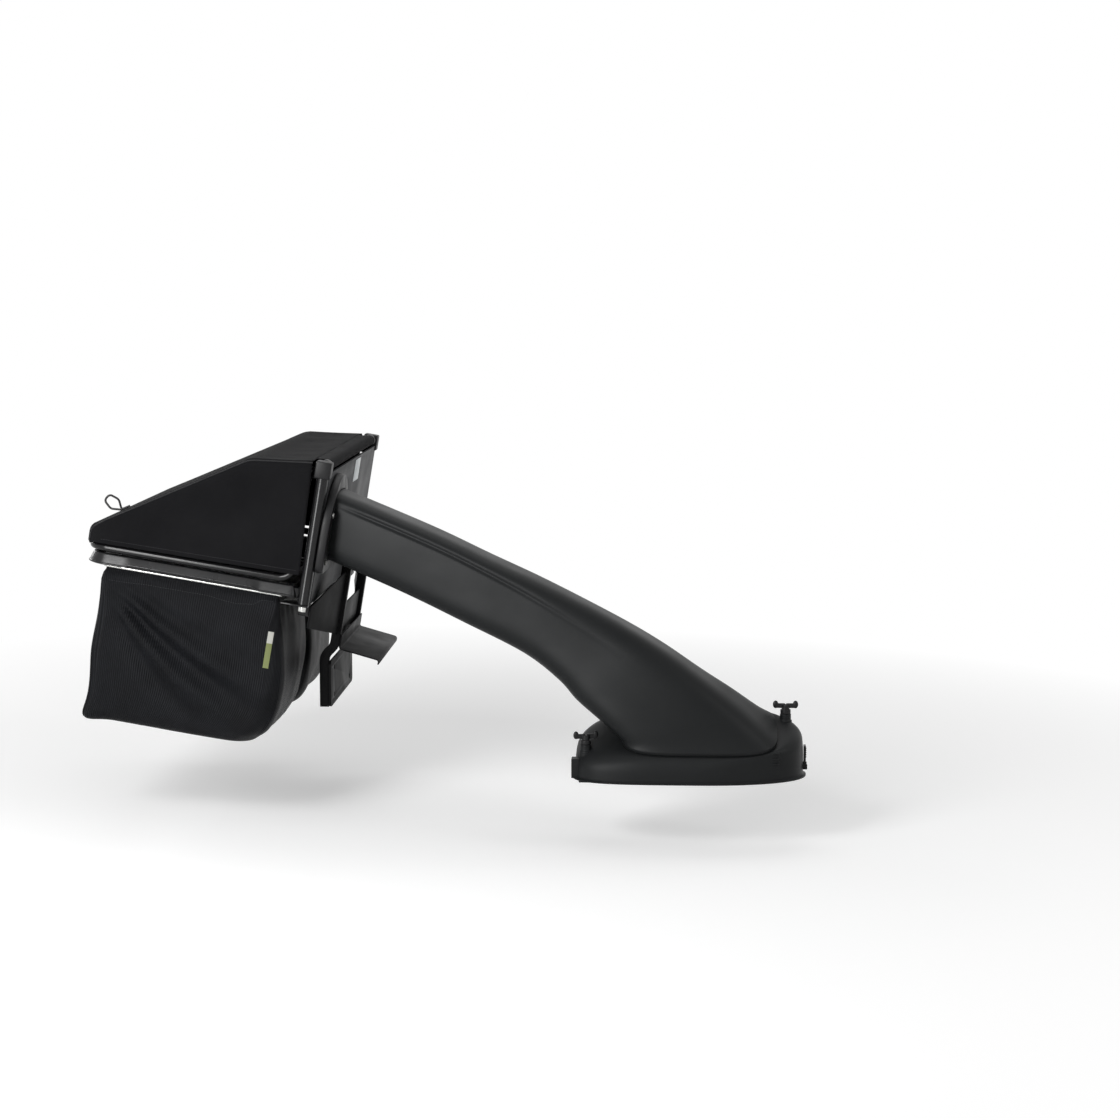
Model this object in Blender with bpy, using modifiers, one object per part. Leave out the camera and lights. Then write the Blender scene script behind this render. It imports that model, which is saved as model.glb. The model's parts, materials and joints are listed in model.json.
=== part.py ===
"""A twin grass bagger for a small riding mower: tilted frame, hood, two bags, chute and deck adapter.

Metres. +X points to the mower's front, +Y to its left, +Z up.
The origin is the centre of the hitch plate's front face.
"""
import math

import bmesh
import bpy
from mathutils import Vector

GAP = 0.0003
OVERSHOOT = 0.01

# The tilted frame that carries the bags: u forward, y left, w up along the posts
TILT = math.radians(9.5)
FRAME_X = -0.026
FRAME_Z = 0.206

# Header tube, which is the hood's hinge pin
HEADER_DIAMETER = 0.018
HEADER_W = 0.290
HEADER_SOCKET = 0.008

# Posts that end below the header tube, their feet and caps
POST_DIAMETER = 0.025
POST_WALL = 0.0018
POST_HEIGHT = HEADER_W - HEADER_DIAMETER
POST_Y = 0.3875
FOOT_THICK = 0.004
FOOT_BACK = 0.045
FOOT_INNER = 0.063
FOOT_OUTER = 0.0175
CAP_SIZE = 0.033
CAP_COVER = 0.003
CAP_TOP = HEADER_W + HEADER_DIAMETER / 2 + CAP_COVER
CAP_DEPTH = 0.034
CAP_PROUD = 0.0045
CAP_LAP = 0.006
CAP_EDGE = 0.003
POST_BOLT_HEAD = 0.018
POST_BOLT_HEIGHT = 0.011

# Bag rims, support frame and bag hoops
RIM_HALF_WIDTH = 0.400
RIM_REAR = 0.463
RIM_FRONT = 0.016
RIM_MIDDLE_GAP = 0.003
RIM_REAR_CORNER = 0.045
RIM_FRONT_CORNER = 0.012
LEAST_CORNER = 0.002
RIM_TOP = 0.0355
RIM_FLANGE = 0.0042
RIM_SKIRT_END = 0.012
RIM_SKIRT_FLARE = 0.009
RIM_WALL = 0.0028
RIM_INNER_WALL = 0.002
RIM_INNER_DROP = 0.0007
RAIL_SIZE = 0.020
RAIL_CLEARANCE = 0.0005
HOOP_DIAMETER = 0.007
BUMPER_FROM_EDGE = 0.065
BUMPER_WIDTH = 0.020
BUMPER_LENGTH = 0.0135
BUMPER_INSET = 0.0005
TIE_INSET = 0.075
TIE_LENGTH = 0.050
TIE_LAP = 0.012
TIE_THICK = 0.003
RECESS_DEPTH = 0.006
RECESS_PLAY = 0.0002
RECESS_REAR = 0.385
RECESS_FRONT = 0.095

# Hood
HOOD_HALF_WIDTH = 0.4005
HOOD_REAR = 0.468
HOOD_HEM = 0.0495
HOOD_REAR_TOP = 0.087
HOOD_RIDGE_U = 0.155
HOOD_RIDGE_RISE = 0.0045
HOOD_FRONT_U = 0.024
HOOD_SIDE_FRONT = 0.0215
HOOD_CLOTH = 0.002
HOOD_ROUND = 0.018
HOOD_TUBE = 0.016
HOOD_RAIL_W = 0.047
RISER_U = 0.030
RISER_BEND = 0.014
RAIL_FRONT_BEND = 0.030
RAIL_REAR_BEND = 0.040
BOW_TUBE = 0.014
BOW_BEND = 0.030
BOW_Y = 0.356
BOW_DROP = 0.018
BOW_W = HEADER_W - BOW_DROP
HOOD_RIDGE_W = BOW_W + BOW_TUBE / 2 + HOOD_RIDGE_RISE
SOCKET_DEPTH = 0.012
BOW_SOCKET_DEPTH = 0.014
SOCKET_FIT = 0.0006
CLIP_WIDTH = 0.023
CLIP_WALL = 0.0035
CLIP_BACK = 0.058
CLIP_FRONT = 0.002
CLIP_SIZE = 0.022
SLEEVE_END = 0.342
SLEEVE_TURN = 30.0
SLEEVE_FOOT = 0.85
HOOD_SIDE_DROP = 0.012
LOOP_Y = -0.20
LOOP_WIRE = 0.0035
LOOP_WIDTH = 0.026
LOOP_HEIGHT = 0.040
LOOP_FOOT_WIDTH = 0.008
LOOP_FOOT_LENGTH = 0.020
LOOP_FOOT_PLACE = 0.030
LOOP_BEND = 0.006

# Bags
BAG_CLOTH = 0.0025
BAG_FIT = 0.0005
BAG_TOP = 0.030
BAG_BELOW_HOOP = 0.001
BAG_DEPTH = 0.322

# Front panel, label and chute collar
PANEL_BACK = 0.008
PANEL_THICK = 0.005
PANEL_CLEARANCE = 0.0035
PANEL_TOP = HEADER_W - HEADER_DIAMETER / 2 - PANEL_CLEARANCE
LABEL_Y = 0.075
LABEL_DROP = 0.0305
LABEL_W = PANEL_TOP - LABEL_DROP
LABEL_WIDTH = 0.085
LABEL_HEIGHT = 0.050
LABEL_THICK = 0.0006
COLLAR_HALF_WIDTH = 0.128
COLLAR_ARCH_W = 0.142
COLLAR_BOTTOM = 0.068
COLLAR_CORNER = 0.020
COLLAR_THICK = 0.017
COLLAR_SCREW_HEAD = 0.011
COLLAR_SCREW_HEIGHT = 0.004
SCREW_SPREAD = 0.106
SCREW_TOP_W = 0.192
SCREW_BOTTOM_W = 0.092

# Hitch
HITCH_HALF_WIDTH = 0.175
HITCH_HEIGHT = 0.100
HITCH_THICK = 0.005
HITCH_CORNER = 0.012
HITCH_HOLE = 0.011
HITCH_HOLE_Y = 0.120
HITCH_HOLE_Z = 0.030
UPRIGHT_SIZE = 0.020
UPRIGHT_Y = 0.160
UPRIGHT_U = 0.053
UPRIGHT_TOP = 0.080
UPRIGHT_BEND = 0.115
UPRIGHT_RADIUS = 0.030
UPRIGHT_LOW_BEND = 0.012
WEB_TOP = -0.030
WEB_BOTTOM = -0.110
WEB_THICK = 0.004
SHELF_DROP = 0.119
SHELF_FLANGE = 0.030
SHELF_LENGTH = 0.090
SHELF_CORNER = 0.005
SHELF_FALL = math.radians(16.0)
SHELF_THICK = 0.003
SHELF_LIP = 0.010
BEAM_SIZE = 0.025
BEAM_HALF_WIDTH = 0.355
BEAM_EDGE = 0.002
GUSSET_THICK = 0.004
GUSSET_INSET = 0.010
GUSSET_FIT = 0.0006
GUSSET_POST_TOP = -0.004
GUSSET_POST_BOTTOM = -0.050
GUSSET_TUBE_TOP = 0.052
GUSSET_TUBE_BOTTOM = -0.088

# Chute: its wall, fit in the collar and half width, and the two edges that it follows
CHUTE_WALL = 0.003
CHUTE_FIT = 0.0004
CHUTE_HALF_WIDTH = 0.079
CHUTE_SIDES = 28
CHUTE_Y = -0.270
LIP_FRONT_X = 0.957
LIP_REAR_X = 0.640
LIP_Y = -0.4475
LIP_Z = -0.045
LIP_TILT = 0.45
CUFF_HEIGHT = 0.008

# Adapter on the deck
ADAPTER_CENTRE_X = 0.7775
ADAPTER_HALF_LENGTH = 0.2345
ADAPTER_MIDDLE_Y = -0.420
ADAPTER_NEAR_Y = -0.541
ADAPTER_DECK_Y = -0.345
ADAPTER_BASE = -0.1355
ADAPTER_FLANGE = 0.006
ADAPTER_WALL = 0.003
NECK_HEIGHT = 0.008
NECK_PULL = 0.006
DECK_OPENING = 0.330
DECK_OPENING_TOP = -0.040
FRONT_KNOB = (0.976, -0.395)
REAR_KNOB = (0.5665, -0.478)
FRONT_BOSS_TOP = -0.014
REAR_BOSS_TOP = -0.066
REAR_KNOB_TURN = math.radians(15.0)
BOSS_DIAMETER = 0.020
BOSS_HEIGHT = 0.045
NECK_CLEARANCE = 0.0014
LIP_SEAT = 0.004
KNOB_HUB = 0.014
KNOB_HUB_HEIGHT = 0.020
KNOB_SPAN = 0.052
KNOB_WING_FOOT = 0.011
KNOB_WING_HEIGHT = 0.018
KNOB_WING_THICK = 0.005
LATCH_Z = -0.118
LATCH_THICK = 0.006
LATCH_WIDTH = 0.021
LATCH_HEIGHT = 0.044
LATCH_PIN = 0.004
LATCH_SIDE_PLAY = 0.0005
LUG_THICK = 0.004
LUG_BACK = 0.010
LUG_FRONT = 0.005
LUG_BELOW = 0.005
LUG_ABOVE = 0.006
CLAMP_THICK = 0.004
CLAMP_REAR = 0.014
CLAMP_FRONT = 0.020
CLAMP_HALF_WIDTH = 0.016
CLAMP_EDGE = 0.001

for old in list(bpy.data.objects):
    bpy.data.objects.remove(old, do_unlink=True)

parts = bpy.data.collections.new("mower_bagger")
cutters = bpy.data.collections.new("cutters")
bpy.context.scene.collection.children.link(parts)
bpy.context.scene.collection.children.link(cutters)


def axes_empty(name, location, tilt):
    """An empty that stands for a set of axes which pieces are placed in."""
    empty = bpy.data.objects.new(name, None)
    empty.location = location
    empty.rotation_euler = (0.0, tilt, 0.0)
    parts.objects.link(empty)
    return empty


tilted = axes_empty("tilted_axes", (FRAME_X, 0.0, FRAME_Z), TILT)
level = axes_empty("level_axes", (0.0, 0.0, 0.0), 0.0)
HEADER_X = FRAME_X + HEADER_W * math.sin(TILT)
HEADER_Z = FRAME_Z + HEADER_W * math.cos(TILT)
hood_axis = axes_empty("hood_axis", (HEADER_X, 0.0, HEADER_Z), TILT)


def tilted_point(u, y, w):
    """A point of the tilted frame in world coordinates."""
    x = FRAME_X + u * math.cos(TILT) + w * math.sin(TILT)
    z = FRAME_Z - u * math.sin(TILT) + w * math.cos(TILT)
    return Vector((x, y, z))


def finish(name, colour, roughness, metallic=0.0):
    """A plain finish for one piece."""
    material = bpy.data.materials.new(name + "_finish")
    material.use_nodes = True
    shader = material.node_tree.nodes["Principled BSDF"]
    shader.inputs["Base Color"].default_value = (*colour, 1.0)
    shader.inputs["Roughness"].default_value = roughness
    shader.inputs["Metallic"].default_value = metallic
    return material


def gloss_black(name):
    return finish(name, (0.012, 0.012, 0.013), 0.22)


def black_plastic(name):
    return finish(name, (0.020, 0.021, 0.022), 0.45)


def black_fabric(name):
    return finish(name, (0.010, 0.010, 0.011), 0.90)


def zinc(name):
    return finish(name, (0.60, 0.60, 0.58), 0.30, 1.0)


def place(obj, material, axes):
    """Give a piece its finish, its parent axes and its collection."""
    obj.data.materials.clear()
    obj.data.materials.append(material)
    obj.parent = axes
    parts.objects.link(obj)
    return obj


def mesh_piece(name, mesh, material, axes, smooth=False):
    obj = bpy.data.objects.new(name, mesh)
    if smooth:
        mesh.shade_smooth()
        mesh.set_sharp_from_angle(angle=math.radians(35.0))
    return place(obj, material, axes)


def box_mesh(name, low, high):
    """A box between two corners."""
    bm = bmesh.new()
    bmesh.ops.create_cube(bm, size=1.0)
    size = [b - a for a, b in zip(low, high)]
    middle = [(a + b) / 2 for a, b in zip(low, high)]
    bmesh.ops.scale(bm, vec=size, verts=bm.verts)
    bmesh.ops.translate(bm, vec=middle, verts=bm.verts)
    mesh = bpy.data.meshes.new(name)
    bm.to_mesh(mesh)
    bm.free()
    return mesh


def rod_mesh(name, diameter, start, end, sides=20):
    """A round rod from one point to another."""
    run = Vector(end) - Vector(start)
    turn = run.to_track_quat("Z", "Y").to_matrix().to_4x4()
    bm = bmesh.new()
    bmesh.ops.create_cone(bm, cap_ends=True, segments=sides, radius1=diameter / 2,
                          radius2=diameter / 2, depth=run.length)
    bmesh.ops.transform(bm, matrix=turn, verts=bm.verts)
    bmesh.ops.translate(bm, vec=(Vector(start) + Vector(end)) / 2, verts=bm.verts)
    mesh = bpy.data.meshes.new(name)
    bm.to_mesh(mesh)
    bm.free()
    return mesh


def box(name, low, high, material, axes, bevel=0.0):
    obj = mesh_piece(name, box_mesh(name, low, high), material, axes)
    if bevel:
        add_bevel(obj, bevel)
    return obj


def add_bevel(obj, width, segments=2):
    bevel = obj.modifiers.new("edges", "BEVEL")
    bevel.width = width
    bevel.segments = segments
    bevel.limit_method = "ANGLE"
    bevel.angle_limit = math.radians(40.0)


def cutter(name, mesh, axes):
    """A closed shape that cuts or joins; it isn't a piece."""
    obj = bpy.data.objects.new(name, mesh)
    obj.parent = axes
    obj.hide_render = True
    obj.display_type = "WIRE"
    cutters.objects.link(obj)
    return obj


def combine(obj, other, operation):
    change = obj.modifiers.new(other.name, "BOOLEAN")
    change.object = other
    change.operation = operation
    change.solver = "EXACT"


def rounded_path(points, radii, closed=False, steps=6):
    """A polyline through the points with each corner rounded by its radius."""
    corners = [Vector(p) for p in points]
    count = len(corners)
    path = []
    for i, corner in enumerate(corners):
        if not closed and i in (0, count - 1):
            path.append(corner)
            continue
        before = (corners[i - 1] - corner).normalized()
        after = (corners[(i + 1) % count] - corner).normalized()
        angle = before.angle(after)
        reach = radii[i] / math.tan(angle / 2)
        centre = corner + (before + after).normalized() * (radii[i] / math.sin(angle / 2))
        first = corner + before * reach - centre
        last = corner + after * reach - centre
        sweep = first.angle(last)
        for step in range(steps + 1):
            part = step / steps
            path.append(centre + (first * math.sin((1 - part) * sweep) + last * math.sin(part * sweep))
                        / math.sin(sweep))
    return path


def curve_of(name, splines, closed=True, flat=True):
    curve = bpy.data.curves.new(name, "CURVE")
    curve.dimensions = "2D" if flat else "3D"
    for points in splines:
        spline = curve.splines.new("POLY")
        spline.points.add(len(points) - 1)
        for point, place_at in zip(spline.points, points):
            place_at = tuple(place_at) + (0.0,) * (3 - len(place_at))
            point.co = (*place_at, 1.0)
        spline.use_cyclic_u = closed
    return curve


def bent_tube(name, path, diameter, material, axes, closed=False):
    """A bent round tube or rod along a path."""
    curve = curve_of(name, [path], closed, flat=False)
    curve.bevel_depth = diameter / 2
    curve.bevel_resolution = 3
    curve.use_fill_caps = not closed
    return place(bpy.data.objects.new(name, curve), material, axes)


def as_mesh(obj):
    """Turn a curve piece into a mesh piece of the same name and place."""
    bpy.context.view_layer.update()
    evaluated = obj.evaluated_get(bpy.context.evaluated_depsgraph_get())
    mesh = bpy.data.meshes.new_from_object(evaluated)
    bm = bmesh.new()
    bm.from_mesh(mesh)
    bmesh.ops.remove_doubles(bm, verts=bm.verts, dist=0.00001)
    bmesh.ops.recalc_face_normals(bm, faces=bm.faces)
    bm.to_mesh(mesh)
    bm.free()
    name = obj.name
    material = obj.data.materials[0]
    matrix = obj.matrix_world.copy()
    bpy.data.objects.remove(obj, do_unlink=True)
    made = bpy.data.objects.new(name, mesh)
    mesh.materials.clear()
    mesh.materials.append(material)
    parts.objects.link(made)
    made.matrix_world = matrix
    return made


def plate_along_y(name, outlines, y_low, y_high, material, axes):
    """A flat outline in the plane of the first and third axis, as thick as the stretch of y."""
    curve = curve_of(name, outlines)
    curve.fill_mode = "BOTH"
    curve.extrude = (y_high - y_low) / 2
    obj = place(bpy.data.objects.new(name, curve), material, axes)
    obj.location = (0.0, (y_low + y_high) / 2, 0.0)
    obj.rotation_euler = (math.radians(90.0), 0.0, 0.0)
    return obj


def plate_along_u(name, outlines, u_low, u_high, material, axes):
    """A flat outline in the plane of y and w, as thick as the stretch of u."""
    curve = curve_of(name, outlines)
    curve.fill_mode = "BOTH"
    curve.extrude = (u_high - u_low) / 2
    obj = place(bpy.data.objects.new(name, curve), material, axes)
    obj.location = ((u_low + u_high) / 2, 0.0, 0.0)
    obj.rotation_euler = (math.radians(90.0), 0.0, math.radians(90.0))
    return obj


def rectangle(low_a, low_b, high_a, high_b, radius, steps=5):
    """A rectangle with one corner radius, or with four in turn from the lowest corner."""
    corners = [(low_a, low_b, 0.0), (high_a, low_b, 0.0), (high_a, high_b, 0.0), (low_a, high_b, 0.0)]
    radii = [radius] * 4 if isinstance(radius, float) else radius
    return rounded_path(corners, radii, closed=True, steps=steps)


def ring_piece(name, outline_at, section, height, material, axes):
    """A closed ring: a section of (inset, w) points, each carried round the outline at its inset."""
    bm = bmesh.new()
    rows = [[bm.verts.new((p.x, p.y, w + height)) for p in outline_at(inset)] for inset, w in section]
    count = len(rows[0])
    for row, following in zip(rows, rows[1:] + rows[:1]):
        for j in range(count):
            k = (j + 1) % count
            bm.faces.new((row[j], row[k], following[k], following[j]))
    bmesh.ops.recalc_face_normals(bm, faces=bm.faces)
    mesh = bpy.data.meshes.new(name)
    bm.to_mesh(mesh)
    bm.free()
    return mesh_piece(name, mesh, material, axes)


def loft_mesh(name, rings, close_first=False, close_last=False):
    """A skin through closed rings of as many points, each run anticlockwise as seen from the last ring."""
    bm = bmesh.new()
    rows = [[bm.verts.new(point) for point in ring] for ring in rings]
    count = len(rows[0])
    for lower, upper in zip(rows, rows[1:]):
        for j in range(count):
            k = (j + 1) % count
            bm.faces.new((lower[j], lower[k], upper[k], upper[j]))
    if close_first:
        bm.faces.new(list(reversed(rows[0])))
    if close_last:
        bm.faces.new(rows[-1])
    mesh = bpy.data.meshes.new(name)
    bm.to_mesh(mesh)
    bm.free()
    return mesh


def add_wall(obj, thickness):
    """Give an open skin its wall, inwards from the skin."""
    wall = obj.modifiers.new("wall", "SOLIDIFY")
    wall.thickness = thickness
    wall.offset = -1.0
    wall.use_even_offset = True
    return wall


def superellipse(angle, power_across, power_along):
    """Across and along factors of a rounded rectangle at an angle."""
    across = math.copysign(abs(math.cos(angle)) ** (2 / power_across), math.cos(angle))
    along = math.copysign(abs(math.sin(angle)) ** (2 / power_along), math.sin(angle))
    return across, along


SIDES = (("right", -1.0), ("left", 1.0))


def span(side, inner, outer):
    """The low and high y of a stretch that lies between two distances from the middle."""
    return sorted((side * inner, side * outer))


# Posts, feet, caps and the bolts that hold the posts from below
def turned_tube(name, outer, inner, low, high, centre_y, material, axes):
    profile = [(outer, high), (outer, low), (inner, low), (inner, high)]
    bm = bmesh.new()
    verts = [bm.verts.new((r, 0.0, z)) for r, z in profile]
    for a, b in zip(verts, verts[1:] + verts[:1]):
        bm.edges.new((a, b))
    mesh = bpy.data.meshes.new(name)
    bm.to_mesh(mesh)
    bm.free()
    obj = mesh_piece(name, mesh, material, axes)
    obj.location = (0.0, centre_y, 0.0)
    turn = obj.modifiers.new("turn", "SCREW")
    turn.steps = 24
    turn.render_steps = 24
    turn.use_merge_vertices = True
    turn.merge_threshold = 0.00005
    return obj


cap_inner = POST_Y + POST_DIAMETER / 2 + CAP_PROUD - CAP_DEPTH
cap_bottom = POST_HEIGHT - CAP_LAP
for word, side in SIDES:
    foot_low, foot_high = span(side, POST_Y - FOOT_INNER, POST_Y + FOOT_OUTER)
    box("post_foot_" + word, (-FOOT_BACK, foot_low, -GAP - FOOT_THICK),
        (POST_DIAMETER / 2, foot_high, -GAP), gloss_black("post_foot_" + word), tilted)
    turned_tube("post_" + word, POST_DIAMETER / 2, POST_DIAMETER / 2 - POST_WALL, 0.0, POST_HEIGHT,
                side * POST_Y, gloss_black("post_" + word), tilted)
    bolt_top = -2 * GAP - FOOT_THICK
    mesh_piece("post_bolt_" + word,
               rod_mesh("post_bolt", POST_BOLT_HEAD, (0.0, side * POST_Y, bolt_top - POST_BOLT_HEIGHT),
                        (0.0, side * POST_Y, bolt_top), sides=6),
               zinc("post_bolt_" + word), tilted)
    cap_low, cap_high = span(side, cap_inner, cap_inner + CAP_DEPTH)
    cap = box("corner_cap_" + word, (-CAP_SIZE / 2, cap_low, cap_bottom), (CAP_SIZE / 2, cap_high, CAP_TOP),
              black_plastic("corner_cap_" + word), tilted, bevel=CAP_EDGE)
    combine(cap, cutter("cap_post_socket_" + word,
                        rod_mesh("cap_post_socket", POST_DIAMETER + 2 * GAP,
                                 (0.0, side * POST_Y, cap_bottom - OVERSHOOT),
                                 (0.0, side * POST_Y, POST_HEIGHT + GAP), sides=24), tilted), "DIFFERENCE")
    combine(cap, cutter("cap_header_socket_" + word,
                        rod_mesh("cap_header_socket", HEADER_DIAMETER + 2 * GAP,
                                 (0.0, side * (cap_inner - OVERSHOOT), HEADER_W),
                                 (0.0, side * (cap_inner + HEADER_SOCKET), HEADER_W), sides=24),
                        tilted), "DIFFERENCE")

header_half = cap_inner + HEADER_SOCKET - GAP
mesh_piece("header_tube", rod_mesh("header_tube", HEADER_DIAMETER, (0.0, -header_half, HEADER_W),
                                   (0.0, header_half, HEADER_W), sides=24),
           gloss_black("header_tube"), tilted, smooth=True)

# Support rings: a square tube ring under each rim, a stub to each post and two ties in the middle
skirt_top_inset = RIM_SKIRT_FLARE
rail_outer_inset = RIM_SKIRT_FLARE + RIM_WALL + 2 * RAIL_CLEARANCE
rail_inner_inset = rail_outer_inset + RAIL_SIZE
inner_wall_inset = rail_inner_inset + RAIL_CLEARANCE
bag_inset = inner_wall_inset + RIM_INNER_WALL + BAG_FIT
rail_top = RIM_TOP - RIM_FLANGE - GAP
rail_bottom = rail_top - RAIL_SIZE
square_section = [(rail_outer_inset, 0.0), (rail_inner_inset, 0.0), (rail_inner_inset, RAIL_SIZE),
                  (rail_outer_inset, RAIL_SIZE)]


def corners_at(inset):
    """The corner radii of a rim's outline moved inwards, rear first."""
    rear = max(RIM_REAR_CORNER - inset, LEAST_CORNER)
    front = max(RIM_FRONT_CORNER - inset, LEAST_CORNER)
    return [rear, front, front, rear]


def bag_rectangle(side, inset):
    """The outline of one rim moved inwards, in u and y."""
    low, high = span(side, RIM_MIDDLE_GAP / 2 + inset, RIM_HALF_WIDTH - inset)
    return rectangle(-RIM_REAR + inset, low, -RIM_FRONT - inset, high, corners_at(inset))


for word, side in SIDES:
    ring_piece("support_ring_" + word, lambda inset: bag_rectangle(side, inset), square_section, rail_bottom,
               gloss_black("support_ring_" + word), tilted)
    stub_low, stub_high = span(side, RIM_HALF_WIDTH - rail_inner_inset, RIM_HALF_WIDTH - rail_outer_inset)
    box("rail_stub_" + word, (-RIM_FRONT - rail_outer_inset + GAP, stub_low, rail_bottom),
        (-POST_DIAMETER / 2 - GAP, stub_high, rail_top), gloss_black("rail_stub_" + word), tilted)

tie_half = RIM_MIDDLE_GAP / 2 + rail_outer_inset + TIE_LAP
for word, tie_u in (("rear", -RIM_REAR + TIE_INSET), ("front", -RIM_FRONT - TIE_INSET)):
    box("ring_tie_" + word, (tie_u - TIE_LENGTH / 2, -tie_half, rail_bottom - GAP - TIE_THICK),
        (tie_u + TIE_LENGTH / 2, tie_half, rail_bottom - GAP), gloss_black("ring_tie_" + word), tilted)

# Bag rims, each a moulded ring with a flared skirt outside its rail and a short wall inside it
skirt_lean = RIM_SKIRT_FLARE / (RIM_TOP - RIM_SKIRT_END)
under_flange_inset = skirt_top_inset - RIM_FLANGE * skirt_lean + RIM_WALL
rim_section = [
    (skirt_top_inset, RIM_TOP),
    (0.0, RIM_SKIRT_END),
    (RIM_WALL, RIM_SKIRT_END),
    (under_flange_inset, RIM_TOP - RIM_FLANGE),
    (inner_wall_inset, RIM_TOP - RIM_FLANGE),
    (inner_wall_inset, RIM_SKIRT_END - RIM_INNER_DROP),
    (inner_wall_inset + RIM_INNER_WALL, RIM_SKIRT_END - RIM_INNER_DROP),
    (inner_wall_inset + RIM_INNER_WALL, RIM_TOP),
]
hoop_w = rail_bottom - GAP - HOOP_DIAMETER / 2
hoop_inset = bag_inset - GAP - HOOP_DIAMETER / 2

for word, side in SIDES:
    rim = ring_piece("bag_rim_" + word, lambda inset: bag_rectangle(side, inset), rim_section, 0.0,
                     gloss_black("bag_rim_" + word), tilted)
    notch_low, notch_high = span(side, RIM_HALF_WIDTH - rail_inner_inset - RAIL_CLEARANCE,
                                 RIM_HALF_WIDTH - rail_outer_inset + RAIL_CLEARANCE)
    combine(rim, cutter("rim_notch_" + word,
                        box_mesh("rim_notch", (-RIM_FRONT - rail_outer_inset + GAP, notch_low, -OVERSHOOT),
                                 (OVERSHOOT, notch_high, RIM_TOP - RIM_FLANGE)), tilted), "DIFFERENCE")
    recess_low, recess_high = span(side, RIM_HALF_WIDTH - rail_outer_inset + RECESS_PLAY,
                                   RIM_HALF_WIDTH + OVERSHOOT)
    combine(rim, cutter("rim_recess_" + word,
                        box_mesh("rim_recess", (-RECESS_REAR, recess_low, -OVERSHOOT),
                                 (-RECESS_FRONT, recess_high, RIM_SKIRT_END + RECESS_DEPTH)),
                        tilted), "DIFFERENCE")
    hoop = [Vector((p.x, p.y, hoop_w)) for p in bag_rectangle(side, hoop_inset)]
    bent_tube("bag_hoop_" + word, hoop, HOOP_DIAMETER, zinc("bag_hoop_" + word), tilted, closed=True)


# Bags: an open sack of cloth that hangs from the hoop and leans to the front at its foot
def bag_levels():
    """Levels of the sack: w, how far rear, front, outer and inner walls stand out, and two corner radii."""
    rear_mouth, front_mouth = corners_at(bag_inset)[:2]
    return [
        (BAG_TOP, 0.0, 0.0, 0.0, 0.0, rear_mouth, front_mouth),
        (hoop_w - HOOP_DIAMETER / 2 - BAG_BELOW_HOOP, 0.0, 0.0, 0.0, 0.0, rear_mouth, front_mouth),
        (-0.035, 0.009, 0.009, 0.007, 0.006, 0.020, 0.015),
        (-0.090, 0.007, 0.021, 0.016, 0.015, 0.034, 0.034),
        (-0.170, 0.004, 0.034, 0.022, 0.021, 0.042, 0.042),
        (-0.240, -0.003, 0.032, 0.021, 0.020, 0.046, 0.046),
        (-0.285, -0.003, 0.014, 0.012, 0.010, 0.048, 0.048),
        (-0.311, -0.008, -0.014, -0.006, -0.006, 0.048, 0.048),
        (-BAG_DEPTH, -0.036, -0.050, -0.040, -0.040, 0.040, 0.040),
    ]


for word, side in SIDES:
    rings = []
    for w, rear, front, outer, inner, rear_corner, front_corner in reversed(bag_levels()):
        low, high = span(side, RIM_MIDDLE_GAP / 2 + bag_inset - inner, RIM_HALF_WIDTH - bag_inset + outer)
        outline = rectangle(-RIM_REAR + bag_inset - rear, low, -RIM_FRONT - bag_inset + front, high,
                            [rear_corner, front_corner, front_corner, rear_corner])
        rings.append([Vector((p.x, p.y, w)) for p in outline])
    sack = mesh_piece("bag_" + word, loft_mesh("bag", rings, close_first=True),
                      black_fabric("bag_" + word), tilted, smooth=True)
    add_wall(sack, BAG_CLOTH)

# Hood bumpers on the rims' rear flange, under the hood's rail
hood_rail_y = HOOD_HALF_WIDTH - HOOD_CLOTH - GAP - HOOD_TUBE / 2
hood_rail_rear = HOOD_REAR - HOOD_CLOTH - GAP - HOOD_TUBE / 2
for word, side in SIDES:
    bumper_outer = RIM_HALF_WIDTH - BUMPER_FROM_EDGE
    low, high = span(side, bumper_outer - BUMPER_WIDTH, bumper_outer)
    bumper_rear = -RIM_REAR + skirt_top_inset + BUMPER_INSET
    box("hood_bumper_" + word, (bumper_rear, low, RIM_TOP + GAP),
        (bumper_rear + BUMPER_LENGTH, high, HOOD_RAIL_W - HOOD_TUBE / 2 - GAP),
        finish("hood_bumper_" + word, (0.012, 0.012, 0.012), 0.8), tilted)

# Hood frame: rail round the rear, a riser behind each post and a turned-in end in each hinge clip
clip_inner = BOW_Y - CLIP_WIDTH / 2
clip_outer = BOW_Y + CLIP_WIDTH / 2
riser_end = clip_outer - SOCKET_DEPTH
frame_points = [
    (-RISER_U, -riser_end, BOW_W), (-RISER_U, -hood_rail_y, BOW_W), (-RISER_U, -hood_rail_y, HOOD_RAIL_W),
    (-hood_rail_rear, -hood_rail_y, HOOD_RAIL_W), (-hood_rail_rear, hood_rail_y, HOOD_RAIL_W),
    (-RISER_U, hood_rail_y, HOOD_RAIL_W), (-RISER_U, hood_rail_y, BOW_W), (-RISER_U, riser_end, BOW_W),
]
side_bends = [0.0, RISER_BEND, RAIL_FRONT_BEND, RAIL_REAR_BEND]
frame_radii = side_bends + side_bends[::-1]


def to_hood_axis(points):
    """Points of the tilted frame measured from the hood's hinge axis."""
    return [Vector(p) - Vector((0.0, 0.0, HEADER_W)) for p in points]


bent_tube("hood_frame", to_hood_axis(rounded_path(frame_points, frame_radii)), HOOD_TUBE,
          gloss_black("hood_frame"), hood_axis)

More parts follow.
